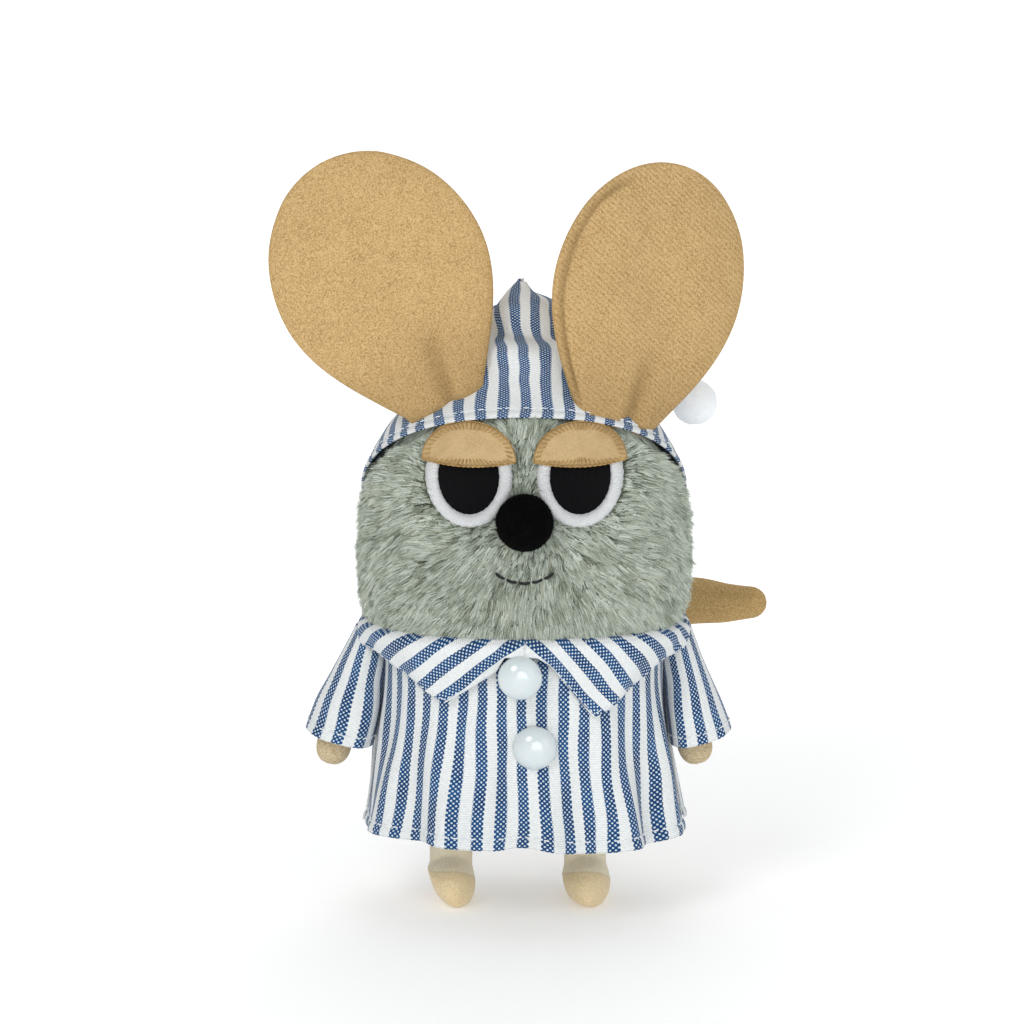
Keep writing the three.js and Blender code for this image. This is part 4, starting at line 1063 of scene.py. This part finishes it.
def cap_level(z):
    """Half width and half depth of the cap at a height: close over the head, then a cone to the peak."""
    height = CAP["peak"] - CAP["cone"]
    low_zs = np.linspace(90, 147, 30)
    shares = np.array([0.05, 0.12, 0.2, 0.3, 0.42, 0.55, 0.7, 0.85, 1])
    narrow = 1 - shares ** CAP["bluntness"]
    zs = np.concatenate([low_zs, CAP["cone"] + height * shares])
    levels = []
    for half, stand in ((HEAD["w"], 0.8), (HEAD["d"], 1.6)):
        close = half * head_share(low_zs) + CAP["offset"]
        base = half * float(head_share(CAP["cone"])) + CAP["offset"]
        levels.append(eased(z, zs, np.concatenate([close, base * narrow + stand]), 2.0))
    return levels


def cap_point(angle, z):
    return oval(angle, *cap_level(z), z)


def build_cap():
    columns = 180
    angle = np.linspace(0, TAU, columns, endpoint=False) + math.pi / 2  # the seam is at the back
    start = crossing(
        lambda z: z > brim_z(cap_point(angle, z)[:, 1]), np.full(columns, 90.0), np.full(columns, CAP["cone"])
    )
    share = np.linspace(0, 1, 90)[:, None]
    z = start[None] + (CAP["peak"] - start[None]) * share**1.02
    points = cap_point(angle[None], z)
    n = normals_of(points, wrap=True)
    around = lengths_along(np.concatenate([points, points[:, :1]], 1), 1)
    u = around - around[:, [columns // 2]]
    # Folds gather towards the peak.
    x, y, zz = points[..., 0], points[..., 1], points[..., 2]
    gather = smooth_step(zz, 146, 168) * (1 - 0.7 * smooth_step(zz, 168, CAP["peak"]))
    folds = 1.3 * np.sin(u[:, :-1] * 0.42 + zz * 0.05 + 0.8) * gather
    folds = folds + 0.7 * np.sin(u[:, :-1] * 0.2 - zz * 0.16) * smooth_step(zz, 138, 160)
    # The upper front is slack: it sinks in over a low roll of cloth, and its stripes step aside there.
    facing = 1 - smooth_step(y, BODY_Y - 6, BODY_Y + 4)
    folds = folds * (1 - 0.6 * facing)
    roll = 1.5 * bump_at(zz + 0.1 * x, 157.5, 3.0) - 3.0 * bump_at(zz + 0.1 * x, 163.8, 2.6)
    folds = folds + facing * (roll + 1.1 * bump_at(zz - 0.2 * x, 170, 2.6))
    hem = -0.35 * bump_at(share * 60, 3.4, 0.5) + 0.25 * bump_at(share * 60, 1.6, 1.3)
    points = points + n * (folds + hem)[..., None]
    aside = 2.6 * smooth_step(z, 158, 166)
    along_u = u + np.concatenate([aside, aside[:, :1]], 1)
    uv = np.stack([along_u, np.broadcast_to(lengths_along(points, 0)[:, :1], u.shape)], -1) * MM
    cap = grid_object("nightcap_cloth", points, mat_cloth, uv, wrap=True)
    thicken(cap, 0.7)
    piece(cap, "head", ["nightcap"])
    row = 6
    stitches = stitch_row("nightcap_stitches", closed(points[row]), closed(n[row]), 1.7, 0.75, 0.17, 0.22)
    piece(stitches, "head")


CAP_TIP = [
    [1, BODY_Y + 8.5, 167], [1, BODY_Y + 14.6, 165.5], [10, BODY_Y + 24.6, 161],
    [24, BODY_Y + 29.8, 155.5], [36.5, BODY_Y + 31.5, 149], [44.6, BODY_Y + 31.3, 143.4],
]


def build_cap_tip():
    path = spline(CAP_TIP, 80)
    length = run_along(path)[-1]
    share = np.linspace(0, 1, len(path))[:, None]
    side, up = path_frames(path)
    columns = 48
    angle = np.linspace(0, TAU, columns, endpoint=False)[None]
    radius = 5.6 - 3.1 * share
    radius = radius * round_end(share * length, 3.5, 0.02) * round_end((1 - share) * length, 2.2, 0.02)
    flatten = 1 - 0.22 * np.sin(angle + share * 3) ** 2
    wrinkle = 0.35 * np.sin(share * 46 + 1.6 * np.sin(angle)) * bump_at(share, 0.35, 0.25)
    wrinkle = wrinkle + 0.28 * np.sin(angle * 3 + share * 9)
    grown = radius * flatten + wrinkle * np.clip(radius / 3, 0, 1)
    ring = side[:, None] * np.cos(angle)[..., None] + up[:, None] * np.sin(angle)[..., None]
    points = path[:, None] + ring * grown[..., None]
    around = np.linspace(0, 1, columns + 1)[None] * 32 + 0 * share
    uv = np.stack([around, share * length + 0 * around], -1) * MM
    obj = closed_loft("nightcap_point", points, mat_cloth, uv)
    thicken(obj, 0.5)
    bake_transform(obj)
    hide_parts("nightcap_tip")


POMPOM_RADIUS = 6.5


def build_pompom():
    low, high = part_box("pompom")
    centre = (np.array((low + high) / 2) - SHIFT) / MM
    lumps = ((0.12, 6, 41), (0.05, 1.5, 42))
    ball = build_ball("pompom_ball", centre, POMPOM_RADIUS, lumps, mat_pompom, 60, 0.05, "z")
    piece(ball, "cap_point", ["pompom"])


# ---------------------------------------------------------------- nightshirt

SHIRT_Z = [17, 23, 28, 38, 48, 58, 66, 72, 76, 78.5, 80.6]
SHIRT_W = [46.4, 45.2, 44, 42.2, 40.6, 39.6, 39.2, 39.2, 38.6, 36.6, 34]
SHIRT_D = [38.6, 37.6, 36.6, 35.4, 34.6, 34, 33.8, 33.6, 33, 30.8, 28]
NECKLINE = (24.0, 19.0)


def shirt_folds(a, z, front):
    """How far the cloth stands out at a distance a round from the middle of the panel."""
    drop = 1.7 * smooth_step(-np.asarray(z, float), -68, -22)
    mid = 2.0 * smooth_step(-np.asarray(z, float), -76, -44)
    if front:
        return (
            drop * (
                1.5 * bump_at(a, -39, 4.5) - 1.3 * bump_at(a, -30, 4) + 0.9 * bump_at(a, -21, 4.5)
                - 0.8 * bump_at(a, -9, 5) + 1.7 * bump_at(a, 6, 7) - 0.9 * bump_at(a, 19, 4.5)
                + 1.0 * bump_at(a, 28, 4) - 1.2 * bump_at(a, 36, 4) + 1.0 * bump_at(a, 45, 5)
            )
            + mid * (0.5 * np.sin(a * 0.26 + z * 0.045) + 0.25 * np.sin(a * 0.5 - z * 0.09 + 1))
        )
    return (
        drop * (1.3 * np.sin(a * 0.3 + 0.6) + 0.7 * np.sin(a * 0.53 + 2.1))
        + mid * (0.35 * np.sin(a * 0.24 - z * 0.06) + 0.2 * np.sin(a * 0.61 + z * 0.05))
    ) * (1 - 0.8 * bump_at(a, 9, 14) * bump_at(np.asarray(z, float), 60, 14))


# The front hem waves: x and height along it.
FRONT_HEM = [
    (-46, 23.4), (-35, 24.6), (-28, 25.2), (-24, 24.4), (-13, 23.8), (-8, 23.9),
    (-1.5, 25.4), (4, 24.8), (9.5, 23.4), (24, 22.6), (33, 22.9), (46, 22.8),
]


def build_panel(name, node, front):
    columns, rows = 131, 76
    s = np.linspace(-1, 1, columns)
    middle = FRONT if front else math.pi / 2
    angle = middle + s * math.pi / 2
    reference = np.stack(
        [41.5 * power_of(np.cos(angle), SQUARENESS), 35.5 * power_of(np.sin(angle), SQUARENESS)], -1
    )
    run = run_along(reference)
    arc = run - run[columns // 2]
    if front:
        hem = eased(SHIRT_W[1] * power_of(np.cos(angle), SQUARENESS), *zip(*FRONT_HEM), 3)
    else:
        hem = 23.4 + 0.8 * np.sin(arc * 0.17 + 1.1)
    share = np.linspace(0, 1, rows)[:, None]
    z = hem[None] + (80.4 - hem[None]) * share
    w = eased(z, SHIRT_Z, SHIRT_W, 3)
    d = eased(z, SHIRT_Z, SHIRT_D, 3)
    x = w * power_of(np.cos(angle), SQUARENESS)[None]
    y = BODY_Y + d * power_of(np.sin(angle), SQUARENESS)[None]
    points = np.stack([x, y, z], -1)
    n = normals_of(points)
    stand = shirt_folds(arc[None], z, front)
    edge = 1 - 0.75 * smooth_step(np.abs(arc)[None], 50, 62)
    if not front:
        stand = stand + 5.0 * bump_at(arc[None], 58, 7) * bump_at(z, 46, 14)
    points = points + n * (stand * edge)[..., None]
    # A turned hem is a little thicker than the cloth above it.
    up = lengths_along(points, 0)
    points = points + n * (0.3 * bump_at(up, 1.4, 1.3) - 0.3 * bump_at(up, 3.1, 0.5))[..., None]
    # Over the shoulders to the neck opening.
    inner = []
    for k in (0.35, 0.7, 1.0):
        wn, dn = 34 + (NECKLINE[0] - 34) * k, 28 + (NECKLINE[1] - 28) * k
        inner.append(
            np.stack(
                [wn * power_of(np.cos(angle), SQUARENESS), BODY_Y + dn * power_of(np.sin(angle), SQUARENESS),
                 np.full(columns, 80.5 - 0.15 * k)], -1,
            )
        )
    points = np.concatenate([points, np.stack(inner)])
    up = lengths_along(points, 0)[:, [columns // 2]] + 0 * arc[None]
    uv = np.stack([np.broadcast_to(arc + (0.6 if front else 0.0), up.shape), up], -1) * MM
    rows_all = len(points)
    index, r, c = grid_faces(rows_all, columns)
    flat = points.reshape(-1, 3)
    if not front:
        hole, radius = np.array([9.0, 42.5]), 8.3
        off = flat[:, [0, 2]] - hole
        distance = np.linalg.norm(off, axis=1)
        inside = (distance < radius - 0.45) & (flat[:, 1] > BODY_Y)
        keep = ~inside[index].any(1)
        index, r, c = index[keep], r[keep], c[keep]
        near = (distance < radius + 0.9) & ~inside & (flat[:, 1] > BODY_Y)
        edge_count = np.zeros(len(flat))
        np.add.at(edge_count, index.ravel(), 1)
        rim = near & (edge_count > 0) & (edge_count < 4)
        flat[rim, 0] = hole[0] + off[rim, 0] / distance[rim] * radius
        flat[rim, 2] = hole[1] + off[rim, 1] / distance[rim] * radius
    used = np.unique(index)
    renumber = np.full(len(flat), -1)
    renumber[used] = np.arange(len(used))
    obj = make_object(name, flat[used], renumber[index], [mat_cloth], uv[r, c])
    thicken(obj, 0.7)
    piece(obj, "body", [node])
    normal = normals_of(points)
    line = 4
    stitches = stitch_row(f"{name}_stitches", points[line], normal[line], 1.9, 0.8, 0.2, 0.3)
    piece(stitches, "body")
    if not front:
        t = np.linspace(0, TAU, 60)
        ring = np.stack([9 + 8.3 * np.cos(t), 0 * t, 42.5 + 8.3 * np.sin(t)], -1)
        w_at = eased(ring[:, 2], SHIRT_Z, SHIRT_W, 3)
        d_at = eased(ring[:, 2], SHIRT_Z, SHIRT_D, 3)
        ring[:, 1] = BODY_Y + d_at * (1 - (np.abs(ring[:, 0]) / w_at) ** SQUARENESS) ** (1 / SQUARENESS) - 0.1
        arc_at = -ring[:, 0]
        ring[:, 1] += shirt_folds(arc_at, ring[:, 2], False)
        rings = strand(ring, 0.75, 10)
        rings[0] = rings[-1] = (rings[1] + rings[-2]) / 2
        binding = strands_object("tail_opening_binding", [rings], mat_white_thread)
        piece(binding, "body")
    return obj


# ---------------------------------------------------------------- collar

COLLAR_Z = [50, 56, 68, 74, 78, 80.6, 82.1, 82.9]
COLLAR_W = [40.6, 41.1, 41.9, 44.7, 46.1, 46.3, 45.5, 43.3]
COLLAR_D = [35.0, 35.4, 35.6, 36.6, 37.7, 38, 37.2, 35]
COLLAR_EDGE = [
    (-60, 77.4), (-46, 77.4), (-37, 73.5), (-21.2, 64.6), (-7.5, 73.8), (-5.5, 78.4),
    (3.4, 78.4), (6.3, 76.4), (18.6, 60.6), (24.4, 64.2), (36, 72.4), (46, 77.4), (60, 77.4),
]


def build_collar(side, sign):
    columns, rows = 150, 30
    s = np.linspace(0, 1, columns) ** 1.25
    angle = FRONT + sign * s * math.pi
    c = power_of(np.cos(angle), SQUARENESS)
    q = power_of(np.sin(angle), SQUARENESS)
    edge_x, edge_z = zip(*COLLAR_EDGE)
    bottom, top = np.full(columns, 52.0), np.full(columns, 80.0)
    for _ in range(40):
        mid = (bottom + top) / 2
        x = eased(mid, COLLAR_Z, COLLAR_W, 1.2) * c
        limit = np.interp(x, edge_x, edge_z)
        above = mid > limit
        top = np.where(above, mid, top)
        bottom = np.where(above, bottom, mid)
    cut = np.where(q > 0.25, 77.4, (bottom + top) / 2)
    blend_back = smooth_step(q, -0.1, 0.25)
    cut = cut * (1 - blend_back) + 77.4 * blend_back
    share = np.linspace(0, 1, rows)[:, None]
    z = cut[None] + (82.7 - cut[None]) * share ** 0.9
    w = eased(z, COLLAR_Z, COLLAR_W, 1.2)
    d = eased(z, COLLAR_Z, COLLAR_D, 1.2)
    outer = np.stack([w * c[None], BODY_Y + d * q[None], z + 0 * w], -1)
    inner = []
    for k in np.linspace(0.1, 1, 8):
        wn, dn = 42.8 + (NECKLINE[0] - 42.8) * k, 34.6 + (NECKLINE[1] - 34.6) * k
        height = 82.9 - 0.5 * k
        inner.append(np.stack([wn * c, BODY_Y + dn * q, np.full(columns, height)], -1))
    points = np.concatenate([outer, np.stack(inner)])
    n = normals_of(points)
    if sign < 0:
        n = -n
    arc = lengths_along(points, 1)
    fall = np.concatenate([1 - share[:, 0], np.zeros(8)])[:, None]
    ripple = fall * (0.55 * np.sin(arc * 0.2 + 1.2) + 0.35 * np.sin(arc * 0.43))
    tip_lift = 0.9 * fall * bump_at(np.abs(points[..., 0]), 21, 6) * (points[..., 1] < BODY_Y)
    points = points + n * (ripple + tip_lift)[..., None]
    # The stripes run along the flap's inner front edge, which slopes down to its point.
    arc = lengths_along(points, 1)[[rows // 2]] + 0 * points[..., 0]
    height = cut[None] * 0 + np.concatenate([z, 82.9 + np.linspace(1.5, 20, 8)[:, None] + 0 * z[:1]])
    tilt = math.radians(34 if sign < 0 else 43)
    u = arc * math.sin(tilt) + (height - 78.6) * math.cos(tilt)
    v = arc * math.cos(tilt) - (height - 78.6) * math.sin(tilt)
    uv = np.stack([u - 1.2, v], -1) * MM
    obj = grid_object(f"collar_{side}", points, mat_cloth_slant, uv, flip=sign < 0)
    thicken(obj, 0.9)
    piece(obj, "body", ["collar"])
    line = np.concatenate([points[1]])
    stitches = stitch_row(f"collar_{side}_stitches", line, n[1], 1.5, 0.8, 0.14, 0.16)
    piece(stitches, "body")


# ---------------------------------------------------------------- sleeves, arms, legs, tail


SLEEVES = {
    "left": dict(top=42.3, hem=51.2, widths=(4.6, 7.0, 8.9, 9.3)),
    "right": dict(top=42.1, hem=49.1, widths=(4.5, 5.9, 7.4, 8.4)),
}
HANDS = {"left": (-53.7, BODY_Y - 5, 45), "right": (48, BODY_Y - 5, 45)}
HIP_X = {"left": -20.5, "right": 17.5}


def build_sleeve(side, sign):
    rows, columns = 60, 84
    t = np.linspace(0, 1, rows)[:, None]
    cut = SLEEVES[side]
    top = np.array([cut["top"], BODY_Y - 2, 79.8])
    hem = np.array([cut["hem"], BODY_Y - 5, 48.3])
    centre = top + (hem - top) * t
    w = eased(t, (0, 0.34, 0.69, 1), cut["widths"], 0.08)
    d = 7.2 + (9.3 - 7.2) * t**0.8
    angle = np.linspace(0, TAU, columns, endpoint=False)[None]
    c, q = power_of(np.cos(angle), 2.1), power_of(np.sin(angle), 2.1)
    folds = smooth_step(t, 0.25, 1) * (
        0.75 * np.sin(angle * 3 + 0.7 + 1.3 * t) + 0.35 * np.sin(angle * 5 + 2 - 2 * t)
    ) * (1 - 0.7 * bump_at(c, -1, 0.5))
    dent = -0.8 * bump_at(t, 0.45, 0.12) * bump_at(angle, 4.4, 0.9)
    x = centre[:, :1] + (w + folds + dent) * c
    y = centre[:, 1:2] + (d + folds + dent) * q
    z = centre[:, 2:3] + (x - centre[:, :1]) * 0.25 * t + 0.35 * np.sin(angle * 2 + 1) * t**3
    points = np.stack([sign * x, y, z], -1)
    if sign < 0:
        points = points[:, ::-1]
        points = np.roll(points, 1, axis=1)
    points = points[::-1]
    around = np.linspace(0, 1, columns + 1)[None] * 53.0
    up = lengths_along(points, 0)
    up = np.concatenate([up, up[:, :1]], 1)
    uv = np.stack([around + 0 * up, up], -1) * MM
    obj = grid_object(f"{side}_sleeve_cloth", points, mat_cloth, uv, wrap=True)
    thicken(obj, 0.6)
    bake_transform(obj)
    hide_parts(f"{side}_sleeve")
    n = normals_of(points, wrap=True)
    row = 5
    path, normal = closed(points[row]), closed(n[row])
    stitches = stitch_row(f"{side}_sleeve_stitches", path, normal, 1.8, 0.8, 0.19, 0.28)
    piece(stitches, f"{side}_arm")


def build_arm(side, sign):
    pivot = np.array([sign * 45.2, BODY_Y - 3, 68])
    hand = np.array(HANDS[side])
    along = unit(hand - pivot)
    path = np.linspace(pivot - along * 3.2, hand + along * 4.6, 60)
    radius = lambda s: 3.4 + 1.6 * smooth_step(s, 0.0, 0.75) + 0.1 * np.sin(s * 14)
    dent = lambda s, a: -0.45 * bump_at(s, 0.9, 0.05) * np.cos(a * 2 + 1) + 0.12 * np.sin(a * 3 + s * 8)
    obj = tube(f"{side}_arm_suede", path, radius, mat_hand, 36, dent)
    piece(obj, f"{side}_arm", [f"{side}_arm"])


def leg_tones(side):
    def tones(layout):
        forward = BODY_Y - layout[:, 1]
        line = layout[:, 2] - (7.6 + 0.42 * (forward - 4) - 0.02 * (layout[:, 0] - HIP_X[side]) ** 2)
        # seam darkens the line where toe meets shaft: painted shade in the seam.
        return {"toe": 1 - smooth_step(line, -0.5, 0.5), "seam": bump_at(line, 0.0, 0.35) * (forward > -2)}

    return tones


SOLES = {"left": (-18.0, 4.4), "right": (20.5, 2.4)}


def build_leg(side):
    obj = softened(f"{side}_leg", f"{side}_leg_suede", mat_leg, 0.55, 14, 0.25, leg_tones(side))
    # The sole isn't level: it rises towards the outer left of each foot.
    lowest, lift = SOLES[side]
    co = numbers_of(obj.data.vertices, "co")
    x, z = (co[:, 0] - SHIFT[0]) / MM, co[:, 2] / MM
    off = np.clip((lowest - x) / 8, 0, 1.2) ** 1.4 * lift + np.clip((x - lowest) / 8, 0, 1) ** 2 * 0.6
    co[:, 2] += off * (1 - smooth_step(z, 1, 13)) * MM
    obj.data.vertices.foreach_set("co", co.ravel())
    obj.data.update()
    piece(obj, f"{side}_leg", [f"{side}_leg"])


TAIL = [
    [7, BODY_Y + 27, 42], [9, BODY_Y + 39, 42.5], [20, BODY_Y + 49.5, 51], [32, BODY_Y + 50, 67.5],
    [46, BODY_Y + 48, 75.8], [60, BODY_Y + 44, 76.5], [71.2, BODY_Y + 40.5, 77.5],
]


TAIL_CREASES = ((0.22, 2), (0.31, 2.4), (0.42, 2.1), (0.53, 2.6))  # share of the length, angle


def build_tail():
    path = spline(TAIL, 130)

    def radius(s):
        grown = 5 + 1.9 * np.clip(s / 0.45, 0, 1)
        return np.where(s < 0.7, grown, 6.9 - 2.7 * smooth_step(s, 0.72, 1.05))

    def dent(s, a):
        crease = -0.5 * sum(bump_at(s, k, 0.012) * (0.5 + 0.5 * np.cos(a - b)) for k, b in TAIL_CREASES)
        seam = -0.4 * bump_at(a, math.pi * 1.5, 0.09)
        return crease + seam + 0.12 * np.sin(a * 2 + s * 17)

    obj = tube("tail_suede", path, radius, mat_tail, 48, dent)
    piece(obj, "tail", ["tail"])


def build_torso():
    for node, name, lumps in (("torso", "torso_cover", 0.25), ("back_pad", "back_pad_cover", 0.0)):
        obj = softened(node, name, mat_cover, 1.1, 8, lumps)
        piece(obj, "body", [node])


# ---------------------------------------------------------------- buttons


def build_button(node, x, z, out, lean):
    profile = np.array(
        [(0.02, 0.0), (3.6, 0.0), (5.3, 0.1), (5.85, 0.5), (6.0, 1.1), (5.95, 1.6), (5.7, 2.1),
         (5.25, 2.65), (4.6, 3.3), (3.7, 3.9), (2.6, 4.35), (1.4, 4.58), (0.02, 4.65)]
    )
    run = run_along(profile)
    want = np.linspace(0, run[-1], 48)
    r = np.interp(want, run, profile[:, 0])
    h = np.interp(want, run, profile[:, 1])
    r[1:-1] = (r[:-2] + 2 * r[1:-1] + r[2:]) / 4
    h[1:-1] = (h[:-2] + 2 * h[1:-1] + h[2:]) / 4
    angle = np.linspace(0, TAU, 72, endpoint=False)
    ring = np.stack(
        [r[:, None] * np.cos(angle), -h[:, None] + 0 * angle, r[:, None] * np.sin(angle)], -1
    )
    turn = np.array(Matrix.Rotation(math.radians(lean), 3, "X"))
    points = ring @ turn.T + np.array([x, BODY_Y - out, z])
    obj = closed_loft(f"{node}_dome", points, mat_button)
    piece(obj, "body", [node])


# ---------------------------------------------------------------- the movement's nodes


def dress_nodes():
    """Every CAD node that stays gets its own finish."""
    finishes = {
        mat_brass: [
            "cylinder_arbor", "pin_cylinder", "bedplate", "governor_fan", "ratchet_wheel", "spring_barrel",
        ],
        mat_steel: [
            "music_comb", "comb_screw_1", "comb_screw_2", "click_spring", "mainspring", "back_plate",
            "winding_arbor",
        ],
        mat_nickel: ["winding_key"],
        mat_eyelet: ["key_eyelet"],
        mat_case: ["movement_case", "movement_cover"],
    }
    for material, names in finishes.items():
        for name in names:
            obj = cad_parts[name]
            for place in obj.material_slots:
                place.material = material
    bevels = {"winding_key": 0.35, "key_eyelet": 0.3, "movement_case": 0.4, "movement_cover": 0.4}
    for name, width in bevels.items():
        add_modifier(
            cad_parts[name], "edges", "BEVEL", width=width * MM, segments=2, limit_method="ANGLE",
            angle_limit=math.radians(35),
        )


# ---------------------------------------------------------------- putting it together


def backdrop():
    """A pale paper sweep that is lit more the farther back it is."""
    g = Graph("floor", roughness=0.95)
    paper = g.mix(g.noise(g.place(), 3 * MM), (0.925, 0.925, 0.925), (0.935, 0.935, 0.935))
    g.put(g.bsdf.inputs["Base Color"], paper)
    _, depth, _ = g.apart(g.place())
    g.put(g.bsdf.inputs["Emission Color"], (1.0, 1.0, 1.0))
    g.put(g.bsdf.inputs["Emission Strength"], g.span(depth, 0.05, 1.1, 0.2, 0.52))
    return g.material


def build_floor():
    turn = np.linspace(0, math.pi / 2, 16)
    line = [(-1.6, 0.0)] + [(1.0 + 0.6 * math.sin(t), 0.6 - 0.6 * math.cos(t)) for t in turn] + [(1.6, 2.4)]
    points = np.array([[[x, y, z] for x in np.linspace(-2.4, 2.4, 9)] for y, z in line])
    points = (points - SHIFT) / MM
    points[..., 2] -= 0.05
    uv = points[..., :2] * MM
    floor = grid_object("floor", points, backdrop(), uv)


build_floor()
build_skin()
build_fur()
for side, sign in (("left", -1), ("right", 1)):
    build_eye(side, sign)
    build_lid(side, sign)
    build_ear(side)
    build_collar(side, sign)
    build_sleeve(side, sign)
    build_arm(side, sign)
    build_leg(side)
build_nose()
build_mouth()
build_cap()
build_cap_tip()
build_pompom()
build_panel("shirt_front_cloth", "shirt_front", True)
build_panel("shirt_back_cloth", "shirt_back", False)
build_button("top_button", -1.2, 72.8, 37.6, -1)
build_button("lower_button", 2.8, 52.7, 34.85, -3.4)
build_torso()
build_tail()
dress_nodes()

bpy.context.view_layer.update()
